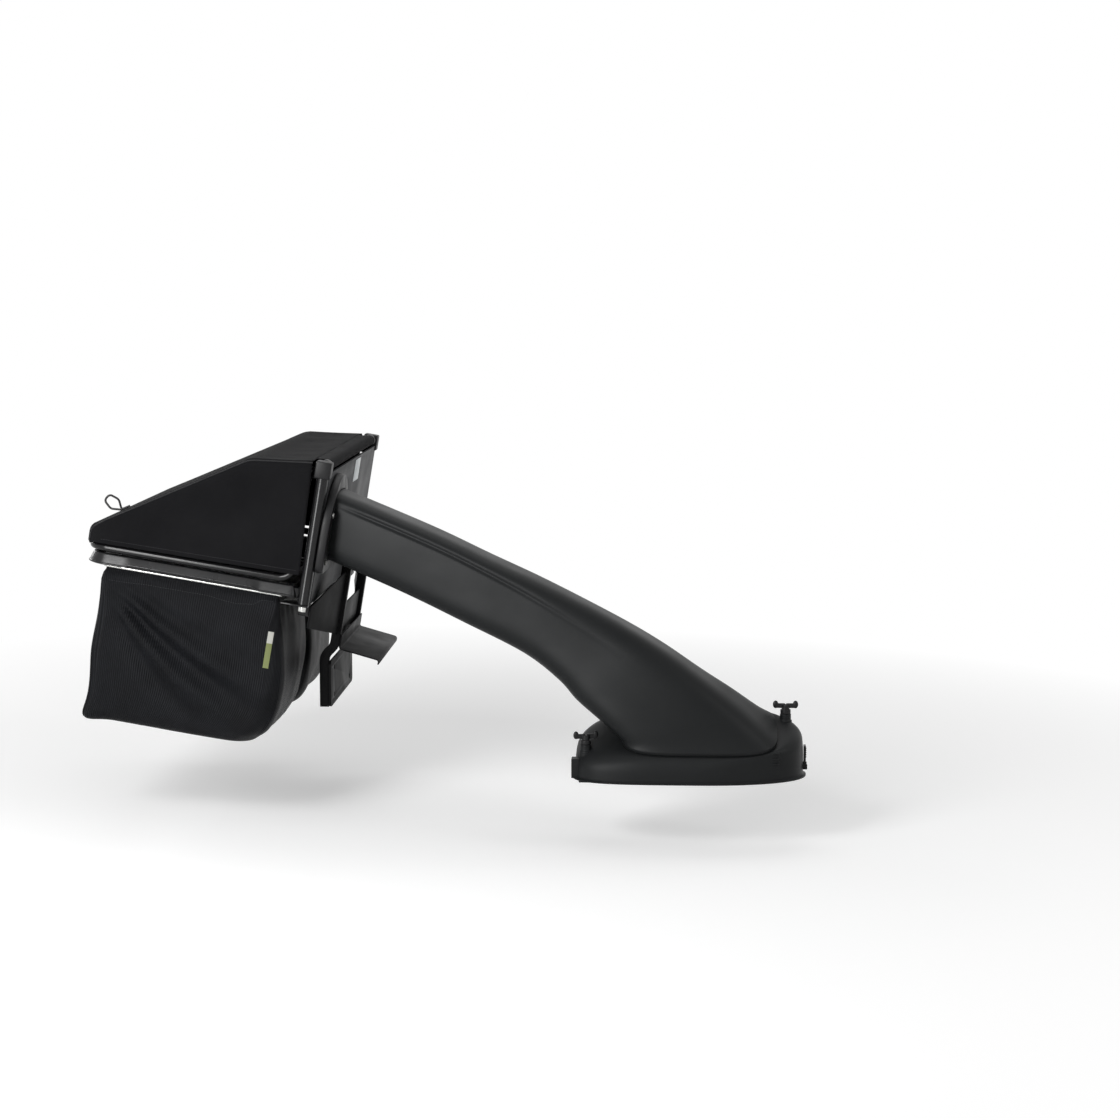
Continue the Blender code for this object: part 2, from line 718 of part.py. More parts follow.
# Ridge bow, its two ends held in the hinge clips
bow_front = CLIP_BACK - BOW_SOCKET_DEPTH
bow_points = [(-bow_front, -BOW_Y, BOW_W), (-HOOD_RIDGE_U, -BOW_Y, BOW_W),
              (-HOOD_RIDGE_U, BOW_Y, BOW_W), (-bow_front, BOW_Y, BOW_W)]
bent_tube("hood_bow", to_hood_axis(rounded_path(bow_points, [0.0, BOW_BEND, BOW_BEND, 0.0])), BOW_TUBE,
          gloss_black("hood_bow"), hood_axis)

# Hinge clips: a ring round the header tube with sockets for the riser's and the bow's end
for word, side in SIDES:
    low, high = span(side, clip_inner, clip_outer)
    ring_diameter = HEADER_DIAMETER + 2 * CLIP_WALL
    clip_top = BOW_W - HEADER_W + CLIP_SIZE / 2
    clip = box("hinge_clip_" + word, (-CLIP_BACK, low, clip_top - CLIP_SIZE), (-CLIP_FRONT, high, clip_top),
               black_plastic("hinge_clip_" + word), hood_axis)
    combine(clip, cutter("clip_ring_" + word,
                         rod_mesh("clip_ring", ring_diameter, (0.0, low, 0.0), (0.0, high, 0.0), sides=24),
                         hood_axis), "UNION")
    combine(clip, cutter("clip_bore_" + word,
                         rod_mesh("clip_bore", HEADER_DIAMETER + 2 * GAP, (0.0, low - OVERSHOOT, 0.0),
                                  (0.0, high + OVERSHOOT, 0.0), sides=24), hood_axis), "DIFFERENCE")
    combine(clip, cutter("clip_riser_socket_" + word,
                         rod_mesh("clip_riser_socket", HOOD_TUBE + SOCKET_FIT,
                                  (-RISER_U, side * (riser_end - GAP), BOW_W - HEADER_W),
                                  (-RISER_U, side * (clip_outer + OVERSHOOT), BOW_W - HEADER_W), sides=20),
                         hood_axis), "DIFFERENCE")
    combine(clip, cutter("clip_bow_socket_" + word,
                         rod_mesh("clip_bow_socket", BOW_TUBE + SOCKET_FIT,
                                  (-CLIP_BACK - OVERSHOOT, side * BOW_Y, BOW_W - HEADER_W),
                                  (-bow_front + GAP, side * BOW_Y, BOW_W - HEADER_W), sides=20),
                         hood_axis), "DIFFERENCE")


# Hood cover: one sewn skin with sides, a rear face, a slope, a flat top and a sleeve at the front
def hood_cover_mesh():
    sleeve_radius = (HEADER_DIAMETER / 2 + GAP + HOOD_CLOTH) / math.cos(math.radians(SLEEVE_TURN / 2))
    rows = [(-HOOD_REAR, HOOD_HEM), (-HOOD_REAR, HOOD_REAR_TOP), (-HOOD_RIDGE_U, HOOD_RIDGE_W),
            (-HOOD_FRONT_U, HEADER_W + sleeve_radius * SLEEVE_FOOT)]
    wide_rows = len(rows)
    for turn in range(6):
        angle = math.radians(90.0 - SLEEVE_TURN * turn)
        rows.append((sleeve_radius * math.cos(angle), HEADER_W + sleeve_radius * math.sin(angle)))
    columns = [-HOOD_HALF_WIDTH, -SLEEVE_END + 0.002, SLEEVE_END - 0.002, HOOD_HALF_WIDTH]
    bm = bmesh.new()
    grid = []
    for index, (u, w) in enumerate(rows):
        used = columns if index < wide_rows else columns[1:3]
        grid.append([bm.verts.new((u, y, w - HEADER_W)) for y in used])
    for index in range(len(rows) - 1):
        lower, upper = grid[index], grid[index + 1]
        if index < wide_rows - 1:
            for c in range(3):
                bm.faces.new((lower[c], lower[c + 1], upper[c + 1], upper[c]))
        else:
            start = 1 if index == wide_rows - 1 else 0
            bm.faces.new((lower[start], lower[start + 1], upper[1], upper[0]))
    for column in (0, 3):
        edge = [grid[index][column] for index in range(wide_rows)]
        y = edge[0].co.y
        below = bm.verts.new((-HOOD_SIDE_FRONT, y, HOOD_HEM - HEADER_W))
        above = bm.verts.new((-HOOD_SIDE_FRONT, y, edge[-1].co.z - HOOD_SIDE_DROP))
        bm.faces.new(edge + [above, below])
    bmesh.ops.recalc_face_normals(bm, faces=bm.faces)
    bm.normal_update()
    if max(bm.faces, key=lambda face: face.calc_area() * abs(face.normal.z)).normal.z < 0:
        bmesh.ops.reverse_faces(bm, faces=bm.faces)
    seams = [e for e in bm.edges if len(e.link_faces) == 2
             and abs(e.link_faces[0].normal.y) + abs(e.link_faces[1].normal.y) > 0.5
             and abs(e.verts[0].co.y) > SLEEVE_END]
    seams += [e for e in bm.edges if len(e.link_faces) == 2 and
              all(abs(v.co.x + HOOD_REAR) < 1e-6 and v.co.z > HOOD_HEM - HEADER_W + 0.01 for v in e.verts)]
    bmesh.ops.bevel(bm, geom=seams, offset=HOOD_ROUND, segments=3, affect="EDGES", profile=0.5)
    mesh = bpy.data.meshes.new("hood_cover")
    bm.to_mesh(mesh)
    bm.free()
    return mesh


cover = mesh_piece("hood_cover", hood_cover_mesh(), black_fabric("hood_cover"), hood_axis, smooth=True)
add_wall(cover, HOOD_CLOTH)

# Pull loop on the cover's rear slope
slope_run = Vector((HOOD_REAR - HOOD_RIDGE_U, 0.0, HOOD_RIDGE_W - HOOD_REAR_TOP)).normalized()
slope_up = Vector((-slope_run.z, 0.0, slope_run.x))
loop_foot = Vector((-HOOD_REAR, LOOP_Y, HOOD_REAR_TOP)) + slope_run * LOOP_FOOT_PLACE
loop_foot += slope_up * (GAP + LOOP_WIRE / 2)
loop_lean = (slope_up * 0.9 - slope_run * 0.45).normalized()
loop_across = Vector((loop_lean.z, 0.0, -loop_lean.x))


def loop_point(run, sideways, across, height):
    """A point of the pull loop: along the slope, along y, and across and along the loop."""
    return (loop_foot + slope_run * run + Vector((0.0, sideways * LOOP_FOOT_WIDTH / 2, 0.0))
            + loop_across * LOOP_WIDTH * across + loop_lean * LOOP_HEIGHT * height)


loop_points = [
    loop_point(LOOP_FOOT_LENGTH, -1.0, 0.0, 0.0),
    loop_point(0.0, -1.0, 0.0, 0.0),
    loop_point(0.0, -0.6, -0.5, 0.45),
    loop_point(0.0, -0.2, -0.33, 1.0),
    loop_point(0.0, 0.2, 0.33, 1.0),
    loop_point(0.0, 0.6, 0.5, 0.45),
    loop_point(0.0, 1.0, 0.0, 0.0),
    loop_point(LOOP_FOOT_LENGTH, 1.0, 0.0, 0.0),
]
loop_path = rounded_path(loop_points, [0.0] + [LOOP_BEND] * 6 + [0.0], steps=4)
bent_tube("pull_loop", to_hood_axis(loop_path), LOOP_WIRE, finish("pull_loop", (0.015, 0.015, 0.015), 0.5),
          hood_axis)


# Chute: stations of its top and bottom edge, middle, sideways tilt and squareness
def chute_station(top, bottom, middle_y, tilt, squareness):
    return [*top, *bottom, middle_y, tilt, squareness]


collar_top = tilted_point(0.0, 0.0, 0.2425)
collar_bottom = tilted_point(0.0, 0.0, 0.0968)
lip_normal = Vector((0.0, -LIP_TILT, 1.0)).normalized()
cuff_top = Vector((0.0, LIP_Y, LIP_Z)) + lip_normal * CUFF_HEIGHT
chute_stations = [
    chute_station((collar_top.x, collar_top.z), (collar_bottom.x, collar_bottom.z), CHUTE_Y, 0.0, 4.6),
    chute_station((0.229, 0.362), (0.175, 0.229), -0.312, 0.0, 4.6),
    chute_station((0.360, 0.306), (0.311, 0.169), -0.345, 0.0, 4.4),
    chute_station((0.483, 0.254), (0.436, 0.111), -0.375, 0.0, 4.2),
    chute_station((0.632, 0.182), (0.508, 0.060), -0.400, 0.0, 4.0),
    chute_station((0.721, 0.132), (0.545, 0.024), -0.420, 0.05, 3.8),
    chute_station((0.805, 0.075), (0.583, -0.004), -0.435, 0.12, 3.7),
    chute_station((0.870, 0.029), (0.612, -0.022), -0.443, 0.24, 3.7),
    chute_station((0.927, -0.016), (0.632, -0.034), -0.447, 0.36, 3.8),
    chute_station((LIP_FRONT_X, cuff_top.z), (LIP_REAR_X, cuff_top.z), cuff_top.y, LIP_TILT, 4.0),
]


def blend_stations(stations, steps):
    """A smooth run of stations through the given ones."""
    run = []
    last = len(stations) - 1
    for i in range(last):
        a, b = stations[max(i - 1, 0)], stations[i]
        c, d = stations[i + 1], stations[min(i + 2, last)]
        for step in range(steps):
            t = step / steps
            run.append([0.5 * (2 * q + (r - p) * t + (2 * p - 5 * q + 4 * r - s) * t * t
                               + (3 * q - p - 3 * r + s) * t ** 3) for p, q, r, s in zip(a, b, c, d)])
    run.append(stations[-1])
    return run


def chute_ring(station, grow=0.0):
    top_x, top_z, bottom_x, bottom_z, middle_y, tilt, squareness = station
    middle = Vector(((top_x + bottom_x) / 2, middle_y, (top_z + bottom_z) / 2))
    half = Vector(((top_x - bottom_x) / 2, 0.0, (top_z - bottom_z) / 2))
    half = half * (1 + grow / half.length)
    side = Vector((0.0, CHUTE_HALF_WIDTH + grow, tilt * CHUTE_HALF_WIDTH))
    ring = []
    for k in range(CHUTE_SIDES):
        across, along = superellipse(2 * math.pi * (k + 0.5) / CHUTE_SIDES, squareness, squareness)
        ring.append(middle + side * across + half * along)
    return ring


chute_run = blend_stations(chute_stations, 2)
chute_rings = [chute_ring(s) for s in chute_run]
chute_rings.append([p - lip_normal * CUFF_HEIGHT for p in chute_rings[-1]])
chute = mesh_piece("chute", loft_mesh("chute", chute_rings),
                   black_plastic("chute"), level, smooth=True)
add_wall(chute, CHUTE_WALL)

# Front panel, its label, and the arch-topped collar round the chute; the chute's outer form cuts both
back_shift = Vector((-0.04, 0.0, 0.0155))
fit_rings = [chute_ring(s, CHUTE_FIT) for s in chute_run[:3]]
fit_rings.insert(0, [p + back_shift for p in fit_rings[0]])
panel_half = POST_Y - math.sqrt((POST_DIAMETER / 2) ** 2 - PANEL_BACK ** 2) - GAP
notch_half = cap_inner - GAP
notch_w = cap_bottom - GAP
panel_outline = [(-panel_half, GAP), (panel_half, GAP), (panel_half, notch_w), (notch_half, notch_w),
                 (notch_half, PANEL_TOP), (-notch_half, PANEL_TOP), (-notch_half, notch_w),
                 (-panel_half, notch_w)]
panel = as_mesh(plate_along_u("front_panel", [panel_outline], PANEL_BACK, PANEL_BACK + PANEL_THICK,
                              finish("front_panel", (0.055, 0.056, 0.058), 0.5), tilted))
collar_back = PANEL_BACK + PANEL_THICK + GAP
arch = [(CHUTE_Y + COLLAR_HALF_WIDTH * math.cos(math.radians(a)),
         COLLAR_ARCH_W + COLLAR_HALF_WIDTH * math.sin(math.radians(a)), 0.0) for a in range(0, 181, 12)]
for a in range(180, 271, 30):
    arch.append((CHUTE_Y - COLLAR_HALF_WIDTH + COLLAR_CORNER + COLLAR_CORNER * math.cos(math.radians(a)),
                 COLLAR_BOTTOM + COLLAR_CORNER + COLLAR_CORNER * math.sin(math.radians(a)), 0.0))
for a in range(270, 361, 30):
    arch.append((CHUTE_Y + COLLAR_HALF_WIDTH - COLLAR_CORNER + COLLAR_CORNER * math.cos(math.radians(a)),
                 COLLAR_BOTTOM + COLLAR_CORNER + COLLAR_CORNER * math.sin(math.radians(a)), 0.0))
collar = as_mesh(plate_along_u("chute_collar", [arch], collar_back, collar_back + COLLAR_THICK,
                               black_plastic("chute_collar"), tilted))
for piece in (panel, collar):
    combine(piece, cutter(piece.name + "_hole", loft_mesh("chute_form", fit_rings, True, True), level),
            "DIFFERENCE")
box("panel_label", (PANEL_BACK + PANEL_THICK + GAP, LABEL_Y - LABEL_WIDTH / 2, LABEL_W - LABEL_HEIGHT / 2),
    (PANEL_BACK + PANEL_THICK + GAP + LABEL_THICK, LABEL_Y + LABEL_WIDTH / 2, LABEL_W + LABEL_HEIGHT / 2),
    finish("panel_label", (0.62, 0.68, 0.70), 0.5), tilted)
collar_front = collar_back + COLLAR_THICK + GAP
screw_places = [(CHUTE_Y + across * SCREW_SPREAD, w) for w in (SCREW_TOP_W, SCREW_BOTTOM_W)
                for across in (-1, 1)]
for number, (y, w) in enumerate(screw_places, 1):
    mesh_piece("collar_screw_%d" % number,
               rod_mesh("collar_screw", COLLAR_SCREW_HEAD, (collar_front, y, w),
                        (collar_front + COLLAR_SCREW_HEIGHT, y, w), sides=12),
               zinc("collar_screw_%d" % number), tilted)

# Front beam under the post feet, and the hitch: uprights, web, shelf, gussets and plate
beam_top = -2 * GAP - FOOT_THICK
box("front_beam", (-BEAM_SIZE / 2, -BEAM_HALF_WIDTH, beam_top - BEAM_SIZE),
    (BEAM_SIZE / 2, BEAM_HALF_WIDTH, beam_top), gloss_black("front_beam"), tilted, bevel=BEAM_EDGE)
hitch_tube_x = -HITCH_THICK - GAP - UPRIGHT_SIZE / 2
upright_top = tilted_point(UPRIGHT_U, 0.0, UPRIGHT_TOP)
upright_bend = tilted_point(UPRIGHT_U, 0.0, -UPRIGHT_BEND)
upright_corners = [(upright_top.x, upright_top.z, 0.0), (upright_bend.x, upright_bend.z, 0.0),
                   (hitch_tube_x, HITCH_HEIGHT / 2 + UPRIGHT_LOW_BEND, 0.0),
                   (hitch_tube_x, -HITCH_HEIGHT / 2, 0.0)]
upright_path = rounded_path(upright_corners, [0.0, UPRIGHT_RADIUS, UPRIGHT_RADIUS, 0.0], steps=4)


def ribbon(path, width):
    """The outline of a strip of even width along a flat path."""
    left, right = [], []
    for i, point in enumerate(path):
        along = (path[min(i + 1, len(path) - 1)] - path[max(i - 1, 0)]).normalized()
        across = Vector((-along.y, along.x, 0.0)) * width / 2
        left.append(point + across)
        right.append(point - across)
    return left + right[::-1]


for word, side in SIDES:
    low, high = span(side, UPRIGHT_Y - UPRIGHT_SIZE / 2, UPRIGHT_Y + UPRIGHT_SIZE / 2)
    plate_along_y("upright_" + word, [ribbon(upright_path, UPRIGHT_SIZE)], low, high,
                  gloss_black("upright_" + word), level)
    gusset_start = Vector((PANEL_BACK + PANEL_THICK + GAP + GUSSET_THICK / 2, POST_Y - GUSSET_INSET, 0.0))
    gusset_end = Vector((UPRIGHT_U, UPRIGHT_Y + UPRIGHT_SIZE / 2 + GUSSET_FIT, 0.0))
    run = gusset_end - gusset_start
    curve = curve_of("gusset", [[(0.0, GUSSET_POST_TOP), (0.0, GUSSET_POST_BOTTOM),
                                 (run.length, GUSSET_TUBE_BOTTOM), (run.length, GUSSET_TUBE_TOP)]])
    curve.fill_mode = "BOTH"
    curve.extrude = GUSSET_THICK / 2
    gusset = place(bpy.data.objects.new("side_gusset_" + word, curve), gloss_black("side_gusset_" + word),
                   tilted)
    gusset.location = (gusset_start.x, side * gusset_start.y, 0.0)
    gusset.rotation_euler = (math.radians(90.0), 0.0, math.atan2(side * run.y, run.x))
web_half = UPRIGHT_Y - UPRIGHT_SIZE / 2 - GAP
box("hitch_web", (UPRIGHT_U - WEB_THICK / 2, -web_half, WEB_BOTTOM),
    (UPRIGHT_U + WEB_THICK / 2, web_half, WEB_TOP), gloss_black("hitch_web"), tilted)
hitch_outline = rectangle(-HITCH_HALF_WIDTH, -HITCH_HEIGHT / 2, HITCH_HALF_WIDTH, HITCH_HEIGHT / 2,
                          HITCH_CORNER, 3)
hitch = as_mesh(plate_along_u("hitch_plate", [hitch_outline], -HITCH_THICK, 0.0, gloss_black("hitch_plate"),
                              level))
hole_number = 0
for y in (-HITCH_HOLE_Y, HITCH_HOLE_Y):
    for z in (-HITCH_HOLE_Z, HITCH_HOLE_Z):
        hole_number += 1
        combine(hitch, cutter("hitch_hole_%d" % hole_number,
                              rod_mesh("hitch_hole", HITCH_HOLE, (-0.02, y, z), (0.02, y, z), sides=16),
                              level), "DIFFERENCE")
shelf_u = UPRIGHT_U + UPRIGHT_SIZE / 2 + GAP + SHELF_THICK / 2
flange_top = tilted_point(shelf_u, 0.0, SHELF_FLANGE - SHELF_DROP)
shelf_rear = tilted_point(shelf_u, 0.0, -SHELF_DROP)
shelf_start = Vector((shelf_rear.x, shelf_rear.z, 0.0))
fall = Vector((math.cos(SHELF_FALL), -math.sin(SHELF_FALL), 0.0))
shelf_end = shelf_start + fall * SHELF_LENGTH
lip_end = shelf_end + Vector((fall.y, -fall.x, 0.0)) * SHELF_LIP
shelf_line = rounded_path([(flange_top.x, flange_top.z, 0.0), shelf_start, shelf_end, lip_end],
                          [0.0, SHELF_CORNER, SHELF_CORNER, 0.0], steps=3)
plate_along_y("hitch_shelf", [ribbon(shelf_line, SHELF_THICK)], -UPRIGHT_Y - UPRIGHT_SIZE / 2,
              UPRIGHT_Y + UPRIGHT_SIZE / 2, gloss_black("hitch_shelf"), level)


# Deck adapter: a domed shell with a neck inside the chute's lip, open below and towards the deck
def adapter_base(angle, grow=0.0):
    cosine, sine = math.cos(angle), math.sin(angle)
    power = 2.3 if cosine > 0 else 4.0
    across = math.copysign(abs(cosine) ** (2 / power), cosine)
    along = math.copysign(abs(sine) ** (2 / power), sine)
    reach = (ADAPTER_DECK_Y if along > 0 else ADAPTER_NEAR_Y) - ADAPTER_MIDDLE_Y
    x = ADAPTER_CENTRE_X + (ADAPTER_HALF_LENGTH + grow) * across
    y = ADAPTER_MIDDLE_Y + reach * abs(along) * (1 + grow / abs(reach))
    return x, y


def lip_outline(angle, grow, front_pull=0.0):
    across, along = superellipse(angle, 4.0, 4.0)
    x = (LIP_FRONT_X + LIP_REAR_X) / 2 + ((LIP_FRONT_X - LIP_REAR_X) / 2 + grow) * across
    if across > 0:
        x -= front_pull * across
    y = LIP_Y + (CHUTE_HALF_WIDTH + grow) * along
    return x, y


def lip_plane(y):
    return LIP_Z + (y - LIP_Y) * LIP_TILT


adapter_angles = [2 * math.pi * (k + 0.5) / CHUTE_SIDES for k in range(CHUTE_SIDES)]
adapter_rings = [
    [Vector((*adapter_base(a, ADAPTER_FLANGE), ADAPTER_BASE)) for a in adapter_angles],
    [Vector((*adapter_base(a), ADAPTER_BASE)) for a in adapter_angles],
]
dome_steps = [(0.0, 0.45, 0.55), (0.10, 0.75, 0.84), (0.35, 0.93, 0.98), (0.70, 1.0, 1.0), (1.0, 1.0, 1.0)]
for inwards, upwards_rear, upwards_front in dome_steps:
    ring = []
    for a in adapter_angles:
        upwards = upwards_rear + (upwards_front - upwards_rear) * max(math.cos(a), 0.0)
        bx, by = adapter_base(a)
        lx, ly = lip_outline(a, LIP_SEAT)
        x = bx + (lx - bx) * inwards
        y = by + (ly - by) * inwards
        ring.append(Vector((x, y, ADAPTER_BASE + (lip_plane(y) - GAP - ADAPTER_BASE) * upwards)))
    adapter_rings.append(ring)
neck_inset = -CHUTE_WALL - NECK_CLEARANCE
for rise, pull in ((0.0, 0.0), (NECK_HEIGHT, NECK_PULL)):
    ring = []
    for a in adapter_angles:
        x, y = lip_outline(a, neck_inset - rise * 0.10, pull)
        ring.append(Vector((x, y, lip_plane(y) - GAP)) + lip_normal * rise)
    adapter_rings.append(ring)
adapter = mesh_piece("deck_adapter", loft_mesh("deck_adapter", adapter_rings), black_plastic("deck_adapter"),
                     level)
add_wall(adapter, ADAPTER_WALL)
for word, (x, y), top in (("front", FRONT_KNOB, FRONT_BOSS_TOP), ("rear", REAR_KNOB, REAR_BOSS_TOP)):
    combine(adapter, cutter(word + "_boss", rod_mesh("boss", BOSS_DIAMETER, (x, y, top - BOSS_HEIGHT),
                                                     (x, y, top), sides=20), level), "UNION")
latch_x = ADAPTER_CENTRE_X + ADAPTER_HALF_LENGTH + GAP + LATCH_THICK / 2
for number, y_side in enumerate((-1.0, 1.0), 1):
    inner = LATCH_WIDTH / 2 + LATCH_SIDE_PLAY
    low, high = sorted((ADAPTER_MIDDLE_Y + y_side * inner, ADAPTER_MIDDLE_Y + y_side * (inner + LUG_THICK)))
    lug = cutter("latch_lug_%d" % number,
                 box_mesh("latch_lug", (latch_x - LUG_BACK, low, LATCH_Z - LUG_BELOW),
                          (latch_x + LUG_FRONT, high, LATCH_Z + LUG_ABOVE)), level)
    combine(adapter, lug, "UNION")
bore_half = LATCH_WIDTH / 2 + LUG_THICK + OVERSHOOT
combine(adapter, cutter("latch_bore", rod_mesh("latch_bore", LATCH_PIN + 2 * GAP,
                                               (latch_x, ADAPTER_MIDDLE_Y - bore_half, LATCH_Z),
                                               (latch_x, ADAPTER_MIDDLE_Y + bore_half, LATCH_Z), sides=16),
                        level), "DIFFERENCE")
deck_low = (ADAPTER_CENTRE_X - DECK_OPENING / 2, ADAPTER_DECK_Y - 0.020, ADAPTER_BASE - 0.05)
deck_high = (ADAPTER_CENTRE_X + DECK_OPENING / 2, ADAPTER_DECK_Y + 0.05, DECK_OPENING_TOP)
combine(adapter, cutter("deck_opening", box_mesh("deck_opening", deck_low, deck_high), level), "DIFFERENCE")


# Wing knobs that clamp the adapter, each on its own upright axis
def wing_knob(word, x, y, boss_top, turn):
    axis = axes_empty("knob_axis_" + word, (x, y, boss_top + GAP), 0.0)
    axis.rotation_euler = (0.0, 0.0, turn)
    hub_mesh = rod_mesh("hub", KNOB_HUB, (0.0, 0.0, 0.0), (0.0, 0.0, KNOB_HUB_HEIGHT), sides=16)
    hub = mesh_piece("wing_knob_" + word, hub_mesh, black_plastic("wing_knob_" + word), axis)
    half = KNOB_SPAN / 2
    wing_low = KNOB_WING_FOOT
    outline = [(-half, wing_low + 0.006), (-half + 0.004, wing_low + 0.001), (-KNOB_HUB / 2, wing_low),
               (KNOB_HUB / 2, wing_low), (half - 0.004, wing_low + 0.001), (half, wing_low + 0.006),
               (half, wing_low + KNOB_WING_HEIGHT - 0.004), (half - 0.004, wing_low + KNOB_WING_HEIGHT),
               (half - 0.009, wing_low + KNOB_WING_HEIGHT), (KNOB_HUB / 2, wing_low + 0.011),
               (-KNOB_HUB / 2, wing_low + 0.011), (-half + 0.009, wing_low + KNOB_WING_HEIGHT),
               (-half + 0.004, wing_low + KNOB_WING_HEIGHT), (-half, wing_low + KNOB_WING_HEIGHT - 0.004)]
    bm = bmesh.new()
    front = [bm.verts.new((px, -KNOB_WING_THICK / 2, pz)) for px, pz in outline]
    face = bm.faces.new(front)
    extruded = bmesh.ops.extrude_face_region(bm, geom=[face])
    moved = [v for v in extruded["geom"] if isinstance(v, bmesh.types.BMVert)]
    bmesh.ops.translate(bm, vec=(0.0, KNOB_WING_THICK, 0.0), verts=moved)
    bmesh.ops.recalc_face_normals(bm, faces=bm.faces)
    mesh = bpy.data.meshes.new("wings")
    bm.to_mesh(mesh)
    bm.free()
    combine(hub, cutter("wings_" + word, mesh, axis), "UNION")


wing_knob("front", *FRONT_KNOB, FRONT_BOSS_TOP, 0.0)
wing_knob("rear", *REAR_KNOB, REAR_BOSS_TOP, REAR_KNOB_TURN)

# Front latch, a lever on a pin between two lugs of the adapter
latch_axis = axes_empty("latch_axis", (latch_x, ADAPTER_MIDDLE_Y, LATCH_Z), 0.0)
latch = box("front_latch", (-LATCH_THICK / 2, -LATCH_WIDTH / 2, 0.0),
            (LATCH_THICK / 2, LATCH_WIDTH / 2, LATCH_HEIGHT), black_plastic("front_latch"), latch_axis)
for label, diameter, half in (("latch_root", LATCH_THICK, LATCH_WIDTH / 2),
                              ("latch_pin", LATCH_PIN, LATCH_WIDTH / 2 + LUG_THICK)):
    combine(latch, cutter(label, rod_mesh(label, diameter, (0.0, -half, 0.0), (0.0, half, 0.0), sides=16),
                          latch_axis), "UNION")

# Rear clamp plate under the adapter's flange
clamp_top = ADAPTER_BASE - ADAPTER_WALL - GAP
clamp_low = (REAR_KNOB[0] - CLAMP_REAR, REAR_KNOB[1] - CLAMP_HALF_WIDTH, clamp_top - CLAMP_THICK)
clamp_high = (REAR_KNOB[0] + CLAMP_FRONT, REAR_KNOB[1] + CLAMP_HALF_WIDTH, clamp_top)
box("rear_clamp", clamp_low, clamp_high, black_plastic("rear_clamp"), level, bevel=CLAMP_EDGE)
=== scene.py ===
"""The looks of a twin grass bagger for a small riding mower: steel frame, hood, bags, chute and adapter."""
import json
import math

import bmesh
import bpy
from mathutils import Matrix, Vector, noise
from mathutils.bvhtree import BVHTree


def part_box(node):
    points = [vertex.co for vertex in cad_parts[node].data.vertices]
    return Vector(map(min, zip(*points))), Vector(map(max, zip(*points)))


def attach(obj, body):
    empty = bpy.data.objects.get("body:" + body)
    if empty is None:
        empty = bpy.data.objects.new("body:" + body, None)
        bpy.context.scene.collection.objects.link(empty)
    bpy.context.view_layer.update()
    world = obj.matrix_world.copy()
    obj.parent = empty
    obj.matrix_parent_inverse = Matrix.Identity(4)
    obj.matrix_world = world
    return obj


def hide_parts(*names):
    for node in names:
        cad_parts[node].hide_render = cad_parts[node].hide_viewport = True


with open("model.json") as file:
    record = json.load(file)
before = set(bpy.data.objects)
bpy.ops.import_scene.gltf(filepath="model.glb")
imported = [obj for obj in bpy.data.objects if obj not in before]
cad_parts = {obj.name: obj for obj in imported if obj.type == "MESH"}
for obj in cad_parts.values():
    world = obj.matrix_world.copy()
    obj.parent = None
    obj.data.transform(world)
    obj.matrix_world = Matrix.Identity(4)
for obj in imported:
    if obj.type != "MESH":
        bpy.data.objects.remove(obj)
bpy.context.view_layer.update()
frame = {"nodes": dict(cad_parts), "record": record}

nodes = frame["nodes"]

# The welded steelwork: post feet, support rings with their stubs and ties, front beam, uprights,
# gussets and the hitch's web, plate and shelf. Square tube and plate, welded and powder coated
# gloss black, so that every edge is a little round and the coat has a fine orange peel.
STEEL_EDGE = 0.0012
PAINT_BLACK = (0.006, 0.006, 0.0065)
ORANGE_PEEL = (420.0, 1.0, 0.00006, 0.5)
STEEL_PIECES = ("post_foot_right", "post_foot_left", "support_ring_right", "support_ring_left",
                "rail_stub_right", "rail_stub_left", "ring_tie_rear", "ring_tie_front", "front_beam",
                "upright_right", "upright_left", "side_gusset_right", "side_gusset_left", "hitch_web",
                "hitch_plate", "hitch_shelf")
SATIN_PIECES = ("hitch_web", "hitch_plate", "hitch_shelf", "side_gusset_right", "side_gusset_left",
                "upright_right", "upright_left")


def new_finish(name, colour, roughness, specular=0.5, metallic=0.0, gloss=(), grain=()):
    """A finish with one shader. Gloss is its clouds' scale and detail and the roughness they vary
    between. Each grain is its clouds' scale and detail, their depth and how strongly they show."""
    finish = bpy.data.materials.new(name)
    finish.use_nodes = True
    shader = finish.node_tree.nodes["Principled BSDF"]
    shader.inputs["Base Color"].default_value = (*colour, 1.0)
    shader.inputs["Roughness"].default_value = roughness
    shader.inputs["Specular IOR Level"].default_value = specular
    shader.inputs["Metallic"].default_value = metallic
    if gloss:
        scale, detail, low, high = gloss
        vary(finish, "Roughness", clouds(finish, scale, detail), low, high)
    for scale, detail, depth, strength in grain:
        emboss(finish, clouds(finish, scale, detail), depth, strength)
    return finish


def clouds(finish, scale, detail=2.0, stretch=(1.0, 1.0, 1.0)):
    """Cloudy noise over a piece's own coordinates, with so many clouds to the metre."""
    tree = finish.node_tree
    place = tree.nodes.new("ShaderNodeTexCoord")
    spread = tree.nodes.new("ShaderNodeMapping")
    spread.inputs["Scale"].default_value = stretch
    cloud = tree.nodes.new("ShaderNodeTexNoise")
    cloud.inputs["Scale"].default_value = scale
    cloud.inputs["Detail"].default_value = detail
    tree.links.new(place.outputs["Object"], spread.inputs["Vector"])
    tree.links.new(spread.outputs["Vector"], cloud.inputs["Vector"])
    return cloud.outputs["Fac"]


